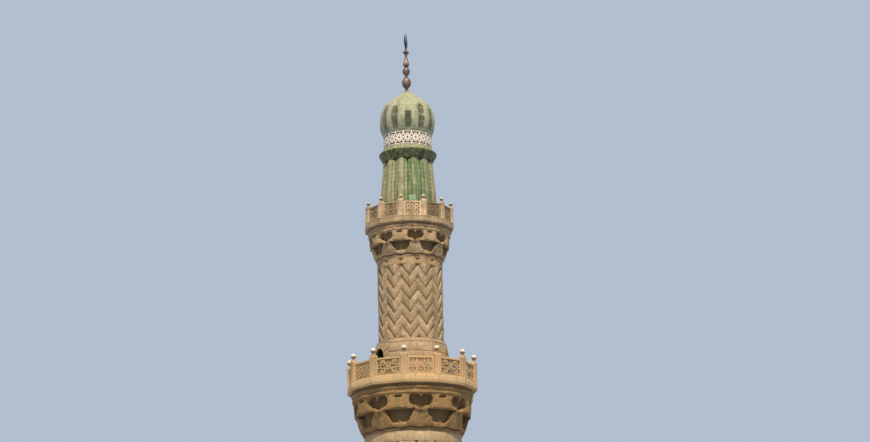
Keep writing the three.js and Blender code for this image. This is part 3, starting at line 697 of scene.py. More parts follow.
def parapet_side(number, pattern, kerb, corner, post_angle, post_width, post_depth, post_top, ball,
                 ball_radius, squash, bottom, top, panel_depth, margin_x, margin_z, strap_half, kerb_tone,
                 post_tone, panel_tones, panel_soil, front_soil, bleach):
    """One side of a parapet: its length of kerb, the post at its left corner, and the framed, pierced panel.

    A post is its outline, with the corners cut by a small ease, at rows of (widening, deepening, height).
    Behind most patterns lies a finer net of bars, set back and darkened with painted shade. A lower tone is
    lighter, and the ball's light-and-shade share is how far a ball is painted pale at its head, a painted
    highlight, and dark at its foot, painted shade.
    """
    corner_angle = post_angle + SIDE_ANGLE * (number - 1)
    middle = corner_angle + SIDE_ANGLE / 2
    local = np.random.default_rng(7 * number + int(corner * 100))
    shade = np.clip(local.normal(0, 0.4, 4), -1, 1)
    shade[0] = post_tone + 0.3 * shade[0]
    shade[2:] = panel_tones.get(number, shade[2:])
    soil = panel_soil.get(number, 0.0)

    out, heights = np.array(kerb).T[:, :, None]
    stones = []
    for start, end in KERB_STONES:
        spread = np.linspace(start, end, 7)
        reach = (corner + out) * np.cos(HALF_SIDE) / np.cos(np.radians(spread - SIDE_ANGLE / 2))
        tone = np.clip(local.normal(kerb_tone, 0.45), -1, 1)
        stones.append((around(corner_angle + spread, reach, heights), grid_quads(len(kerb), 7, True), tone))

    half_width, half_depth = post_width / 2, post_depth / 2
    rows = [(0, 0, bottom), (0, 0, top - 0.01), (0.006, 0.006, top + 0.004), (0.012, 0.012, top + 0.02),
            (0.012, 0.012, post_top - 0.03), (0.0, 0.0, post_top - 0.006), (-0.02, -0.02, post_top),
            (-half_width, -half_depth, post_top)]
    wider, deeper, z = np.array(rows).T[:, :, None]
    side_x, side_y, ease_x, ease_y = np.array(POST_OUTLINE).T
    eased = POST_EASE * (wider > -0.05)
    x, y = side_x * (half_width + wider) + ease_x * eased, side_y * (half_depth + deeper) + ease_y * eased
    setback = corner - half_depth
    shaft = placed(joined(x, y, z), corner_angle, setback)
    post = shaft, grid_quads(len(rows), len(POST_OUTLINE), False, True), shade[0]

    r = ball_radius
    cap = [(r * 0.95, post_top - 0.003), (r * 0.98, post_top + 0.012), (r * 0.60, post_top + 0.03),
           (r * 0.44, post_top + 0.05), (r * 0.40, ball - r * 0.92), (r * 0.56, ball - r * 0.86)]
    cap += [(r * out, ball + r * up * squash) for out, up in BALL_LINE]
    points, quads, _ = lathe(cap, 20, closed=False)
    # Painted highlight and shade: the ball is paler towards its head and darker towards its foot.
    lighter = np.clip((ball - 0.2 * r - points[:, 2]) / (0.25 * r), -1, 0.7) * bleach / 0.7
    knob = points + placed(np.zeros((1, 3)), corner_angle, setback), quads, shade[1], lighter

    apothem = corner * np.cos(HALF_SIDE)
    half = apothem * np.tan(HALF_SIDE) - half_width + 0.02
    face, back = apothem - (post_depth - panel_depth) / 2, -panel_depth
    x, z, level = half - margin_x, (top - bottom) / 2 - margin_z, (top + bottom) / 2
    rim = [(0, 0, -0.02), (0, 0, back), (margin_x + 0.04, margin_z, back), (margin_x + 0.04, margin_z, 0.0),
           (0.03, 0.03, 0.0), (0.024, 0.024, 0.008), (0.012, 0.012, 0.008), (0.006, 0.006, -0.002)]
    wider, taller, y = np.array(rim).T
    side_x, side_z = np.array([(-1, -1), (1, -1), (1, 1), (-1, 1)]).T[:, :, None]
    border = placed(joined(side_x * (x + wider), y, level + side_z * (z + taller)), middle, face)
    pieces = [post, knob, (border, grid_quads(4, len(rim), True, True), shade[2], soil)]
    drawn = [(path, closed, strap_half, -0.014, 0.15, soil) for path, closed in pattern(x, z)]
    # Painted shade: the net behind the pattern gets a darker tone and a mark, for the shade deep in the
    # pierced panel.
    if pattern is not nets:
        bar_darkening = front_soil if number == FRONT_SIDE else 0.6
        drawn += [(path, closed, 0.012, -0.045, 0.7, bar_darkening) for path, closed in nets(x, z, 0.105)[:-1]]
    for path, closed, half_strap, front, darker, bar_darkening in drawn:
        points, quads = strap(path + (0, level), closed, half_strap, front, back + 0.02)
        pieces.append((placed(points, middle, face), quads, shade[3] + darker, bar_darkening))
    return pieces + stones


def balcony(name, material, patterns, **sizes):
    """Builds a parapet's sides, numbered round from the first post, and dresses the slab under them."""
    for number, pattern in enumerate(patterns, 1):
        side, node = parapet_side(number, pattern, **sizes), f"{name}_parapet_side_{number:02d}"
        new_piece(f"{name}_parapet_{number:02d}", side, material, [node])
    dress(f"{name}_balcony_slab", material)


LOWER_KERB = [
    (-0.06, 17.112), (-0.012, 17.115), (0.006, 17.125), (0.012, 17.14), (0.006, 17.156), (0.0, 17.163),
    (0.004, 17.172), (0.022, 17.184), (0.022, 17.402), (0.010, 17.42), (-0.25, 17.42), (-0.25, 17.31),
    (-0.06, 17.31),
]
balcony(
    "lower", WARM,
    [scrolls, knots, scrolls, nets, stars, crosses, scrolls, knots, stars, nets, scrolls, knots],
    kerb=LOWER_KERB, corner=LOWER_CORNER, post_angle=23.2, post_width=0.25, post_depth=0.17, post_top=18.22,
    ball=18.405, ball_radius=0.105, squash=1.0, bottom=17.42, top=18.10, panel_depth=0.10, margin_x=0.10,
    margin_z=0.075, strap_half=0.021, kerb_tone=0.0, post_tone=-0.4, panel_tones={12: -1.0, 10: 0.8, 11: 0.8},
    panel_soil={}, front_soil=0.1, bleach=0.5,
)

# Second shaft
# A round shaft over a battered plinth of plain ashlar, which has the balcony's doorway cut through it. Bold
# zigzag courses cover the shaft up to a plain band with small three-sided sinkings over their peaks.

LEDGE, UPPER_RADIUS, UPPER_BORE, UPPER_TOP = 19.04, 1.25, 0.90, 22.20
BAND_BOTTOM = 21.90
PLINTH_AT, PLINTH_RADIUS = [17.31, 18.10, 18.65, 18.95, 19.04], [1.458, 1.43, 1.385, 1.335, 1.262]
PLINTH_MIDDLE = 1.40
SINKING_ANGLE, BAND_STONES, BAND_STONE_ANGLE = 30, 16, 22.5
BALCONY_DOOR_ANGLE, BALCONY_DOOR_HALF, BALCONY_DOOR_SPRING, BALCONY_DOOR_JAMB = -62.5, 0.35, 18.39, 0.26
LEDGE_LINE = [
    (1.30, 18.955), (1.318, 18.965), (1.322, 19.0), (1.312, 19.012), (1.262, 19.034), (1.20, 19.034),
]


def on_plinth(along, up, height):
    """place() for the plinth's face, with distances along it counted from the middle of its doorway."""
    angles = BALCONY_DOOR_ANGLE + np.degrees(along / PLINTH_MIDDLE)
    return around(angles, np.interp(up, PLINTH_AT, PLINTH_RADIUS) + height, up)


def sinkings(bottom, top, radius, bore, middle, seed):
    """The plain band as a ring wall, sunk where a point lies inside one of its three-sided, downward tips."""
    angles = round_from(middle - SINKING_ANGLE / 2, 480)
    z = bottom + (top - bottom) * np.linspace(0, 1, 26)[:, None]
    x = radius * np.radians(np.abs(((angles - middle) / SINKING_ANGLE + 0.5) % 1 - 0.5) * SINKING_ANGLE)
    side = (0.13 * ramp(z - bottom, 0.07, 0.14) - x) / 0.03
    sunk = np.clip(np.minimum(side, (bottom + 0.22 - z) / 0.02), 0, 1) * (z > bottom + 0.07)
    rim = 0.012 * ramp(z - top, -0.05, 0.02)
    wear = np.clip(roughness(angles, radius, z, 0.4, seed), 0, 1) * 0.010
    from_joint = angles - middle + 6
    joints = nearness(from_joint % BAND_STONE_ANGLE, 0.8) * 0.012
    radii = radius + rim - 0.045 * sunk - wear - joints
    # Painted shade: the sunk tips are darkened by the mark; the joints are darkened too.
    mark = (0.55 * sunk + 30 * joints).clip(0, 1)
    points, quads, _, column, mark = ring_wall(angles, radii, z, [(bore, top), (bore, bottom)], mark)
    tone = np.clip(np.random.default_rng(seed).normal(0.35, 0.35, BAND_STONES), -1, 1)
    stone_of = (from_joint // BAND_STONE_ANGLE).astype(int) % BAND_STONES
    return points, quads, tone[stone_of[column]], mark


frame_half = BALCONY_DOOR_HALF + BALCONY_DOOR_JAMB + HALF_JOINT
levels = np.array([17.32, 17.70, 18.10, 18.50, 18.86, 19.0])
bond = running_bond(frame_half, 2 * np.pi * PLINTH_MIDDLE - frame_half, levels, 0.70)
door = arch_stones(on_plinth, BALCONY_DOOR_HALF, levels[0], BALCONY_DOOR_SPRING, BALCONY_DOOR_JAMB, count=7)
zigzag = zigzags(LEDGE, BAND_BOTTOM, UPPER_RADIUS, UPPER_BORE, periods=12, valley=-1.0, rise=0.40,
                 pitch=0.473, level=21.43, depth=0.078, seed=57)
# Its darkening colour paints the shade in the upper corbel's niches and hoods and in the band's sinkings.
AGED = stone("aged_stone", (0.57, 0.36, 0.178), (0.36, 0.23, 0.108), (0.72, 0.485, 0.28), depth=0.03,
             stain=0.55, soil=(0.12, 0.07, 0.026))
band = sinkings(BAND_BOTTOM, UPPER_TOP, UPPER_RADIUS, UPPER_BORE, middle=14.0, seed=71)
DULL = stone("dull_ashlar", (0.47, 0.315, 0.17), (0.36, 0.235, 0.12), (0.55, 0.395, 0.235))
new_piece("second_shaft_plinth_courses", [blocks(on_plinth, *bond), *door], DULL)
new_piece("second_shaft_ledge", [lathe(LEDGE_LINE)], DULL)
new_piece("second_shaft_zigzags", [zigzag], CARVED, ["second_shaft"])
new_piece("second_shaft_band", [band], AGED)
# Painted shade: the reveals and the inside of the plinth are painted near black within 1.28 m of the axis,
# for the dark inside of the tower, fading to mortar colour by 1.36 m.
unlit = Shader("unlit_reveal")
from_axis = unlit.nodes.new("ShaderNodeVectorMath")
from_axis.operation = "LENGTH"
unlit.links.new(unlit.squashed((1, 1, 0)), from_axis.inputs[0])
layers = [((0.26, 0.19, 0.12), from_axis.outputs["Value"], 1.28, 1.36, 1.0)]
REVEAL = unlit.finished(unlit.layered((0.02, 0.015, 0.01), layers), 0.95, [unlit.noise(9.0)], 0.4, 0.01)
for part in ("a", "b", "c", "d", "over_door"):
    dress(f"shaft_plinth_{part}", REVEAL)

# Upper corbel
# The same limestone brackets at about three quarters of the lower corbel's size, eight to the round, with
# deep double niches between them. Each course is bonded into the shaft and reaches out past the one below.

UPPER_FLOOR, UPPER_SLAB, UPPER_CORNER = 23.58, 23.45, 1.712
carving = brackets(UPPER_TOP, UPPER_SLAB, UPPER_RADIUS, UPPER_CORNER, UPPER_BORE, seed=43)
new_piece("upper_corbel_carving", [carving], AGED, ["upper_corbel"])

# Upper balcony
# A smaller balcony like the lower one, in paler stone. Its kerb rests on the corbel's head, and carries plain
# wide posts with flattened balls and the pierced panels between them.

PALE = stone("pale_stone", (0.86, 0.56, 0.31), (0.36, 0.24, 0.125), (0.86, 0.63, 0.40), depth=0.03, stain=0.5)
UPPER_KERB = [
    (-0.065, 23.44), (-0.025, 23.442), (0.0, 23.45), (0.018, 23.465), (0.022, 23.49), (0.022, 23.585),
    (0.010, 23.60), (0.010, 23.625), (0.022, 23.64), (0.022, 23.665), (0.010, 23.68), (-0.20, 23.68),
    (-0.20, 23.58), (-0.065, 23.58),
]
balcony(
    "upper", PALE, [stars, nets, knots, nets, stars, nets, knots, stars, nets, knots, stars, nets],
    kerb=UPPER_KERB, corner=UPPER_CORNER, post_angle=19.9, post_width=0.20, post_depth=0.13, post_top=24.31,
    ball=24.45, ball_radius=0.08, squash=0.72, bottom=23.68, top=24.24, panel_depth=0.09, margin_x=0.115,
    margin_z=0.05, strap_half=0.023, kerb_tone=0.9, post_tone=-0.9,
    panel_tones={12: -0.9, 1: 1.0, 2: 0.8, 11: 0.7, 10: 0.7}, panel_soil={1: 0.4, 2: 0.35, 10: 0.1, 11: 0.08},
    front_soil=0.5, bleach=0.38,
)

# Drum
# A tapering drum of twelve ribs with rounded heads, faced with glazed tiles bedded in level courses. Its
# doorway opens on the upper balcony at the back, in a plain stone surround.


def glaze(name, first, middle, last, dark, patch):
    """Weathered glaze: colours laid over a first one by the tone attribute and noise, and fine crazing.

    In turn they are the middle and the last hue by the tone, faded and stained runs, dark flecks, and dark
    grooves or a patch of another glaze where the mark attribute is over or under 0.
    """
    s = Shader(name, specular=0.16)
    tone, mark = s.attribute("tone"), s.attribute("mark")
    color = s.layered(first, [
        (middle, tone, -1.0, 0.0, 1.0),
        (last, tone, 0.0, 1.0, 1.0),
        ((0.48, 0.44, 0.25), s.noise(3.2, 6.0, (4.0, 4.0, 0.7)), 0.44, 0.66, 0.55),
        (dimmed(middle, 0.45), s.noise(2.2, 5.0, (4.0, 4.0, 0.8)), 0.48, 0.70, 0.6),
        (dark, s.noise(34.0, 4.0), 0.56, 0.72, 0.5),
        (dark, mark, 0.0, 1.0, 0.92),
        (patch, mark, 0.0, -1.0, 0.9),
    ])
    bumps = [s.ranged(s.noise(7.0, 6.0), 0.3, 0.7), s.ranged(s.noise(48.0, 4.0), 0.4, 0.7, 0.0, 0.3)]
    return s.finished(color, s.ranged(s.noise(6.0), 0.35, 0.68, 0.42, 0.72), bumps, 0.35, 0.01)


DRUM_HUES = (0.42, 0.33, 0.17), (0.245, 0.26, 0.115), (0.13, 0.18, 0.07)
DRUM_GLAZE = glaze("drum_glaze", *DRUM_HUES, (0.035, 0.05, 0.022), (0.29, 0.39, 0.225))
RIBS, RIB_COLUMNS, RIB_VALLEY, RIB_DEPTH = 12, 24, -1.0, 0.05
RIB_HUES = np.array([0.55, 0.65, -0.6, -0.5, 0.2, -0.1, 0.4, -0.4, 0.1, -0.95, -0.7, -0.05])
DRUM_AT, DRUM_RADIUS = [23.58, 24.80, 26.19], [1.11, 1.10, 0.97]
DRUM_TOP, DRUM_BORE = 26.19, 0.70
DRUM_DOOR_ANGLE, DRUM_DOOR_HALF, DRUM_DOOR_SPRING = 180.0, 0.28, 24.95
HOLE_SHOULDER, HOLE_TOP = 25.10, 25.29
COURSES_TOP, HEADS_FOOT = 25.89, 25.905
PATCH_FOOT, PATCH_TOP, PATCH_END = 24.42, 24.645, 15
COURSE_ROWS = [0.0, 0.03, 0.5, 0.97]


def across(angles, valley):
    """Share of the way round its rib at each angle, from 0 at one valley to 1 at the next."""
    return (angles - valley) * RIBS / 360 % 1


def courses_of(bottom, top, count):
    """Heights of the grid rows of level tile courses, and 1 for each row in a joint."""
    rows = (np.arange(count)[:, None] + COURSE_ROWS).ravel() / count
    joint = np.append(np.tile([1.0, 0.0, 0.0, 0.0], count), 1.0)
    return bottom + (top - bottom) * np.append(rows, 1.0), joint


angles = round_from(RIB_VALLEY, RIBS * RIB_COLUMNS)
f = across(angles, RIB_VALLEY)
low, low_joint = courses_of(UPPER_FLOOR, COURSES_TOP, 13)
high = np.linspace(HEADS_FOOT, DRUM_TOP, 19)
z, joint = np.append(low, high)[:, None], np.append(low_joint, 0 * high)[:, None]
surface = np.interp(z, DRUM_AT, DRUM_RADIUS) - RIB_DEPTH * (1 - np.sin(np.pi * f))
flutes = bell(f, 0.26, 0.035) + bell(f, 0.74, 0.035)
head = DRUM_TOP - 0.02 - 0.20 * (1 - np.sqrt(np.clip(1 - (2 * f - 1) ** 2, 0, 1)))
niche = ramp(z, head, 0.02)
lip = nearness(np.abs(z - head + 0.025), 0.02)
valley = nearness(np.minimum(f, 1 - f), 0.05)
worn = roughness(angles, surface, z, 0.3, 83) * 0.003
surface = surface - 0.013 * flutes - 0.004 * joint - 0.016 * valley - 0.07 * niche
surface = surface + 0.008 * lip + worn - 0.003
# Painted shade: the mark darkens the valleys between the ribs, the flutes and the sunk niches over the rib
# heads; the joints are darkened as joints, and the lip under each head is tinted paler.
mark = 0.5 * joint + 0.9 * valley + 0.6 * niche - 0.2 * lip + 0.7 * flutes
patch = (z > PATCH_FOOT) & (z < PATCH_TOP) & (angles > 0) & (angles < PATCH_END)
mark = np.where(patch, -1.0, np.clip(mark, -1, 1))
inside = [(DRUM_BORE, level) for level in (DRUM_TOP, HOLE_TOP, HOLE_SHOULDER, 24.6, 24.1, UPPER_FLOOR)]
points, quads, row, column, mark = ring_wall(angles, surface, z, inside, mark)
x, y, level = points[quads].mean(1).T
aside, from_axis = np.where(y > 0, np.abs(x), 9.0), np.hypot(x, y)
hole = (aside < 0.33) & (level < HOLE_SHOULDER) | (aside < 0.20) & (level < HOLE_TOP)
hole &= (from_axis > 1.0) | (from_axis < 0.72)
local = np.random.default_rng(85)
course = np.minimum(row // len(COURSE_ROWS), 39)
tile = local.normal(0, 0.20, (40, RIBS * 3))[course, column * 3 // RIB_COLUMNS]
strip = local.normal(0, 0.30, RIBS * 6)[column * 6 // RIB_COLUMNS]
tone = np.clip(RIB_HUES[column // RIB_COLUMNS] + tile + strip, -1, 1)
drum_nodes = ["drum_over_door", "drum_a", "drum_b", "drum_c", "drum_d"]
new_piece("drum_tiles", [(points, quads[~hole], tone[~hole], mark)], DRUM_GLAZE, drum_nodes)

turn = np.linspace(-np.pi / 2, np.pi / 2, 21)
rows = []
for wider, depth in ((0, 0.69), (0, 1.118), (0.02, 1.13), (0.10, 1.13), (0.12, 1.118), (0.12, 0.69)):
    half = DRUM_DOOR_HALF + wider
    x = np.concatenate([[-half], half * np.sin(turn), [half]])
    up = np.concatenate([[UPPER_FLOOR], DRUM_DOOR_SPRING + half * np.cos(turn), [UPPER_FLOOR]])
    rows.append(joined(x, np.sqrt(depth**2 - x**2), up))
surround = placed(np.concatenate(rows), DRUM_DOOR_ANGLE, 0.0), grid_quads(len(rows), x.size, True), 0.0
new_piece("drum_door_surround", [surround], PALE)

# Ring cornice
# A heavy moulded ring of very dark glazed tile, bedded on the drum's head, with a cove of pale green tile
# above it.

DARK_HUES = (0.175, 0.15, 0.065), (0.10, 0.105, 0.035), (0.05, 0.065, 0.02)
DARK_GLAZE = glaze("dark_glaze", *DARK_HUES, (0.03, 0.04, 0.016), (0.4, 0.5, 0.3))
COVE_HUES = (0.27, 0.235, 0.12), (0.21, 0.215, 0.10), (0.17, 0.205, 0.085)
COVE_GLAZE = glaze("cove_glaze", *COVE_HUES, (0.12, 0.13, 0.06), (0.6, 0.6, 0.4))
RING_TOP, RING_COLUMNS = 26.71, 144
RING_LINE = [
    (0.905, 26.178), (0.965, 26.20), (0.985, 26.24), (0.99, 26.255), (1.01, 26.275), (1.035, 26.325),
    (1.05, 26.35), (1.055, 26.365), (1.09, 26.415), (1.107, 26.45), (1.112, 26.458), (1.12, 26.47),
    (1.12, 26.52), (1.112, 26.533), (1.09, 26.54), (DRUM_BORE, 26.54), (DRUM_BORE, 26.178),
]
COVE_LINE = [
    (1.06, 26.535), (1.098, 26.537), (1.09, 26.552), (1.05, 26.572), (1.01, 26.605), (0.98, 26.645),
    (0.963, 26.695), (0.955, RING_TOP), (DRUM_BORE, RING_TOP), (DRUM_BORE, 26.535),
]
# Painted shade: the ring is darkened in bands by height, most over its top edge.
RING_SHADE_AT = [26.30, 26.36, 26.40, 26.45, 26.50, 26.53]
RING_SHADE = [0.0, 0.2, 0.0, 0.1, 0.4, 0.55]
points, quads, _ = lathe(RING_LINE, RING_COLUMNS)
tone = np.clip(local.normal(0, 0.7, 72), -1, 1)[np.arange(len(quads)) % RING_COLUMNS // 2]
ring_shade_bands = np.interp(points[:, 2], RING_SHADE_AT, RING_SHADE)
new_piece("ring_cornice", [(points, quads, tone, ring_shade_bands)], DARK_GLAZE, ["drum_ring_cornice"])
new_piece("ring_cove", [lathe(COVE_LINE, RING_COLUMNS)], COVE_GLAZE)

# Neck band
# A band of tile bedded round the neck, with raised cream straps on a dark brown ground. Their design is a
# generic one of waves, rings and lozenges.

NECK_RADIUS, NECK_MIDDLE, NECK_TOP, NECK_REPEATS = 0.935, 27.0, 27.29, 18
CREAM, IVORY, BROWN = (0.80, 0.70, 0.54), (0.70, 0.59, 0.44), (0.085, 0.042, 0.028)
STRAPWORK = stone("strapwork", CREAM, IVORY, (0.88, 0.84, 0.77), depth=0.004, stain=0.15, soil=BROWN)
angles = round_from(0, 576)
z = np.linspace(RING_TOP, NECK_TOP, 59)[:, None]
period = 2 * np.pi * NECK_RADIUS / NECK_REPEATS
x, up = NECK_RADIUS * np.radians(angles), z - NECK_MIDDLE
from_ring, from_knot = (np.abs((x / period + shift) % 1 - 0.5) * period for shift in (0.5, 0.0))
wave = 0.15 * np.cos(2 * np.pi * x / period)
steep = np.hypot(1, 0.30 * np.pi / period * np.sin(2 * np.pi * x / period))
lines = [np.abs(up - wave) / steep, np.abs(up + wave) / steep, np.abs(np.hypot(from_ring, up) - 0.065)]
lines += [np.where(np.abs(up) > 0.14, from_knot, 1.0), np.hypot(from_knot, up) - 0.02]
strap_distance = np.min(np.broadcast_arrays(*lines), 0) - 0.027
edge_distance = np.abs(np.abs(up) - 0.24) - 0.016
raised = np.clip(0.5 - np.minimum(strap_distance, edge_distance) / 0.010, 0, 1) * (np.abs(up) < 0.262)
raised = np.maximum(raised, ramp(np.abs(up), 0.268, 0.01))
radii, inside = NECK_RADIUS - 0.014 + 0.014 * raised, [(DRUM_BORE, NECK_TOP), (DRUM_BORE, RING_TOP)]
points, quads, _, _, mark = ring_wall(angles, radii, z, inside, 1.2 * (1 - raised))
new_piece("neck_strapwork", [(points, quads, -0.6, mark)], STRAPWORK, ["neck_band"])

# Bulb
# The bulb's twelve lobes are a thin masonry shell built up from the neck in rings and faced with pale glazed
# tiles, with darker strips in the grooves.

BULB_HUES = (0.41, 0.335, 0.24), (0.40, 0.375, 0.222), (0.285, 0.31, 0.172)
BULB_GLAZE = glaze("bulb_glaze", *BULB_HUES, (0.06, 0.06, 0.032), (0.6, 0.6, 0.4))
LOBE_HUES = np.array([0.25, -0.1, 0.45, -0.3, 0.3, 0.6, 0.1, -0.4, -0.1, -0.7, -0.35, 0.6])
BULB_TOP, LOBE_VALLEY, SHELL_THICKNESS = 29.14, 2.0, 0.13
FRONT_STRIP_HEAD, FRONT_STRIP_DARKER = 0.78, 0.2
BULB_LINE = [
    (0.945, 0), (0.995, 0.09), (1.055, 0.25), (1.092, 0.45), (1.078, 0.72), (0.975, 1.09), (0.798, 1.33),
    (0.515, 1.565), (0.322, 1.695), (0.165, 1.80),
]


def through(points, steps):
    """A smooth line through points: cubics whose slope at each point is half its neighbours' difference."""
    p = np.array(points, float)
    p = np.concatenate([p[:1], p, p[-1:]])
    a, b, c, d = p[:-3], p[1:-2], p[2:-1], p[3:]
    first, last = (c - a) / 2, (d - b) / 2
    t = np.linspace(0, 1, steps, endpoint=False)[:, None, None]
    spans = (2 * b - 2 * c + first + last) * t**3 + (3 * c - 3 * b - 2 * first - last) * t**2 + first * t + b
    return np.concatenate([spans.transpose(1, 0, 2).reshape(-1, 2), p[-1:]])


curve = through(BULB_LINE, 24)
length = np.append(0, np.cumsum(np.hypot(*np.diff(curve, axis=0).T)))
rows, joint = courses_of(0, length[-1], 15)
radius, height = (np.interp(rows, length, curve[:, axis])[:, None] for axis in (0, 1))
joint = joint[:, None]
angles = round_from(LOBE_VALLEY, RIBS * RIB_COLUMNS)
f = across(angles, LOBE_VALLEY)
edge, level = np.minimum(f, 1 - f), height / (BULB_TOP - NECK_TOP)
fade = np.minimum(1, np.minimum(level * 9, np.clip((0.97 - level) * 2.2, 0, None)))
radii = radius * (1 - 0.06 * fade * (1 - np.sin(np.pi * f)))
rib = (((angles - LOBE_VALLEY) * RIBS / 360 + 0.5) // 1).astype(int) % RIBS
course = np.minimum(np.arange(len(rows)) // len(COURSE_ROWS), 15)[:, None]
half_strip = 0.25 * ramp(height, 0.04, 0.10) ** 0.5 * ramp(height, 1.20, -0.30) ** 0.4
half_strip = half_strip * local.uniform(0.84, 1.10, (16, RIBS))[course, rib]
strip_foot, strip_head = local.uniform(0.02, 0.14, RIBS), local.uniform(0.95, 1.2, RIBS)
strip_head[0] = FRONT_STRIP_HEAD
half_strip = half_strip * (height > strip_foot[rib]) * (height < strip_head[rib])
strip = ramp(edge, half_strip, -0.02)
cord = nearness(edge, 0.03) * ramp(height, 1.2, 0.2)
worn = roughness(angles, radii, NECK_TOP + height, 0.35, 91) * 0.004
radii = radii - 0.016 * strip * fade - 0.004 * joint - 0.006 * cord + worn - 0.004
shell = through(BULB_LINE[:-2], 4)[::-1]
shell_radius, shell_level = np.clip(shell[:, 0] - SHELL_THICKNESS, 0.02, None), NECK_TOP + shell[:, 1] - 0.045
inside = [(0.13, BULB_TOP - 0.03), (0.09, BULB_TOP - 0.004), (1e-4, BULB_TOP - 0.002)]
inside += [(1e-4, shell_level[0] + 0.03)]
inside += [(r, max(up, NECK_TOP)) for r, up in zip(shell_radius, shell_level)]
tiles = local.normal(0, 0.38, (60, RIBS * 4))
darkness = local.uniform(0.62, 0.95, (16, RIBS))
darkness[:, 0] += FRONT_STRIP_DARKER
mark = np.clip(0.5 * joint + darkness[course, rib] * strip * np.clip(fade * 2, 0, 1) + 0.35 * cord, 0, 1)
points, quads, row, column, mark = ring_wall(angles, radii, NECK_TOP + height, inside, mark)
tile = tiles[np.minimum(row // len(COURSE_ROWS), 59), column * 4 // RIB_COLUMNS]
tone = np.clip(LOBE_HUES[column // RIB_COLUMNS] + tile, -1, 1)
new_piece("bulb_lobes", [(points, quads, tone, mark)], BULB_GLAZE, ["bulb"])

# Finial
# Beaten copper beads and a bell are threaded on a rod and set in the bulb's tip. A crescent stands on the
# last bead, with its blade edge on to the front.


def metal(name, bright, dull, rust, painted_sheen):
    """Old copper: bright patches and rust spots on a dull colour by noise, and a painted sheen by the mark.
    """
    s = Shader(name, specular=0.5)
    s.shader.inputs["Metallic"].default_value = 0.3
    color = s.layered(dull, [
        (bright, s.noise(7.0), 0.40, 0.62, 1.0),
        (rust, s.noise(22.0, 5.0), 0.52, 0.7, 0.7),
        (painted_sheen, s.attribute("mark"), 0.0, 1.0, 0.85),
    ])
    bumps = [s.ranged(s.noise(18.0, 4.0), 0.3, 0.7), s.ranged(s.pits(40.0), 0.0, 0.3, 0.0, 0.3)]
    return s.finished(color, s.ranged(s.noise(11.0), 0.3, 0.7, 0.38, 0.62), bumps, 0.3, 0.01)


COPPER = metal("aged_copper", (0.285, 0.175, 0.12), (0.125, 0.08, 0.06), (0.07, 0.04, 0.034),
               painted_sheen=(0.50, 0.30, 0.21))
BLUED = metal("blued_copper", (0.05, 0.06, 0.12), (0.025, 0.028, 0.05), (0.06, 0.035, 0.03),
              painted_sheen=(0.30, 0.24, 0.27))
BEAD_TURN = np.radians(np.linspace(-66, 62, 11))


def bead(middle, radius, half_height):
    """The part of an ellipse's outline that a bead on the rod shows."""
    return [(radius * np.cos(a), middle + half_height * np.sin(a)) for a in BEAD_TURN]


ROD_LINE = [
    (1e-4, 29.138), (0.10, 29.14), (0.108, 29.15), (0.085, 29.175), (0.06, 29.20), (0.058, 29.24),
    *bead(29.5, 0.182, 0.23), (0.062, 29.735), (0.075, 29.745), (0.075, 29.76), (0.06, 29.775),
    *bead(29.975, 0.146, 0.175), (0.055, 30.145), (0.075, 30.16), (0.105, 30.20), (0.12, 30.24),
    (0.125, 30.285), (0.115, 30.34), (0.092, 30.41), (0.066, 30.48), (0.05, 30.56), (0.042, 30.62),
    (0.046, 30.655), (0.06, 30.69), (0.10, 30.73), (0.126, 30.76), (0.127, 30.78), (0.10, 30.80),
    (0.06, 30.83), (0.035, 30.90), (0.032, 30.94), (1e-4, 30.94),
]
STEM_LINE = [
    (1e-4, 30.941), (0.03, 30.942), (0.034, 30.95), (0.034, 30.962), (0.024, 30.972), (0.022, 30.985),
    (1e-4, 30.985),
]
BELL_MIDDLE, BELL_REACH = 30.33, 0.16
points, quads, tone = lathe(ROD_LINE, 48, closed=False)
# Painted highlight: a band of lighter copper round the bell's widest part.
painted_sheen = 0.5 * nearness(np.abs(points[:, 2] - BELL_MIDDLE), BELL_REACH)
new_piece("finial_rod", [(points, quads, tone, painted_sheen)], COPPER, ["finial_spire"])

CRESCENT_MIDDLE, CRESCENT_ANGLE, CRESCENT_SHIFT = 31.255, 82.0, 0.045
BLADE_SECTION = [(1, 0), (0.55, 1), (-0.55, 1), (-1, 0), (-0.55, -1), (0.55, -1)]
turn = np.radians(np.linspace(98, 442, 73))
unit = np.stack([np.cos(turn), np.sin(turn)])
reach = CRESCENT_SHIFT * np.sin(turn) + np.sqrt(0.25**2 - (CRESCENT_SHIFT * np.cos(turn)) ** 2)
outer_line, inner_line = 0.30 * unit, np.minimum(reach, 0.296) * unit
centre, half = (outer_line + inner_line) / 2, np.hypot(*(outer_line - inner_line)) / 2
thick = 0.011 + 0.026 * np.sin(np.clip(half / half.max(), 0, 1) * np.pi / 2)
rows = []
for along, deep in BLADE_SECTION:
    x, up = centre + unit * half * along
    rows.append(joined(x, deep * thick, CRESCENT_MIDDLE + up))
blade = placed(np.concatenate(rows[::-1]), CRESCENT_ANGLE, 0.0)
# Painted highlight: the blade grows paler towards its upper end.
painted_sheen = np.clip((blade[:, 2] - CRESCENT_MIDDLE - 0.04) / 0.15, 0, 0.8)
parts = [(blade, grid_quads(len(rows), turn.size, True), 0.0, painted_sheen), lathe(STEM_LINE, 24, closed=False)]
new_piece("finial_blade", parts, BLUED, ["finial_crescent"])

# Camera
# The tower is seen from below and from far off, as in the photograph, leaning a little in the frame.

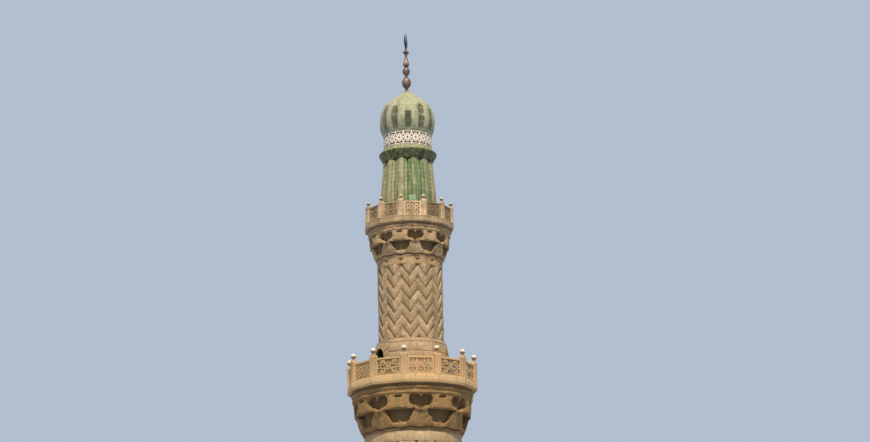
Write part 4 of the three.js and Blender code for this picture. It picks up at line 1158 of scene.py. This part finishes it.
CAMERA_DISTANCE = 82.0
EYE_HEIGHT = 1.6
PIXEL_FOCAL = 2200.0
FRAME_WIDTH = 870
PITCH, YAW, ROLL = 15.19, 0.70, -1.26
lens = bpy.data.cameras.new("camera")
lens.sensor_width = 36.0
lens.lens = PIXEL_FOCAL / FRAME_WIDTH * lens.sensor_width
lens.clip_end = 500
camera = bpy.data.objects.new("camera", lens)
bpy.context.scene.collection.objects.link(camera)
turn = Matrix.Rotation(np.radians(-YAW), 4, "Z") @ Matrix.Rotation(np.radians(90 + PITCH), 4, "X")
turn = turn @ Matrix.Rotation(np.radians(ROLL), 4, "Z")
camera.matrix_world = Matrix.Translation((0, -CAMERA_DISTANCE, EYE_HEIGHT)) @ turn
bpy.context.scene.camera = camera

# Ground
# A plain pale floor under the tower, only to stand it on.

FLOOR_HALF, FLOOR_LEVEL = 10, -0.001
PAVING = stone("ground", (0.50, 0.45, 0.38), (0.46, 0.41, 0.34), (0.54, 0.49, 0.42), depth=0.01, stain=0.1)
floor_mesh = bpy.data.meshes.new("ground")
corners = [(x * FLOOR_HALF, y * FLOOR_HALF, FLOOR_LEVEL) for x, y in ((-1, -1), (1, -1), (1, 1), (-1, 1))]
floor_mesh.from_pydata(corners, [], [(0, 1, 2, 3)])
floor_mesh.materials.append(PAVING)
ground = bpy.data.objects.new("ground", floor_mesh)
bpy.context.scene.collection.objects.link(ground)

# Light
# A high, warm sun from the front, and a pale blue light from all round.

TOWARDS_SUN = (0.04, -0.545, 0.835)
world = bpy.data.worlds.new("studio")
world.use_nodes = True
background = world.node_tree.nodes["Background"].inputs
background["Color"].default_value = (0.617, 0.722, 0.875, 1)
background["Strength"].default_value = 0.72
bpy.context.scene.world = world
bpy.context.scene.view_settings.view_transform = "Standard"
sun = bpy.data.lights.new("key", "SUN")
sun.energy = 4.5
sun.angle = np.radians(2.5)
sun.color = (1.0, 0.93, 0.80)
key = bpy.data.objects.new("key", sun)
bpy.context.scene.collection.objects.link(key)
key.rotation_euler = Vector(TOWARDS_SUN).to_track_quat("Z", "Y").to_euler()
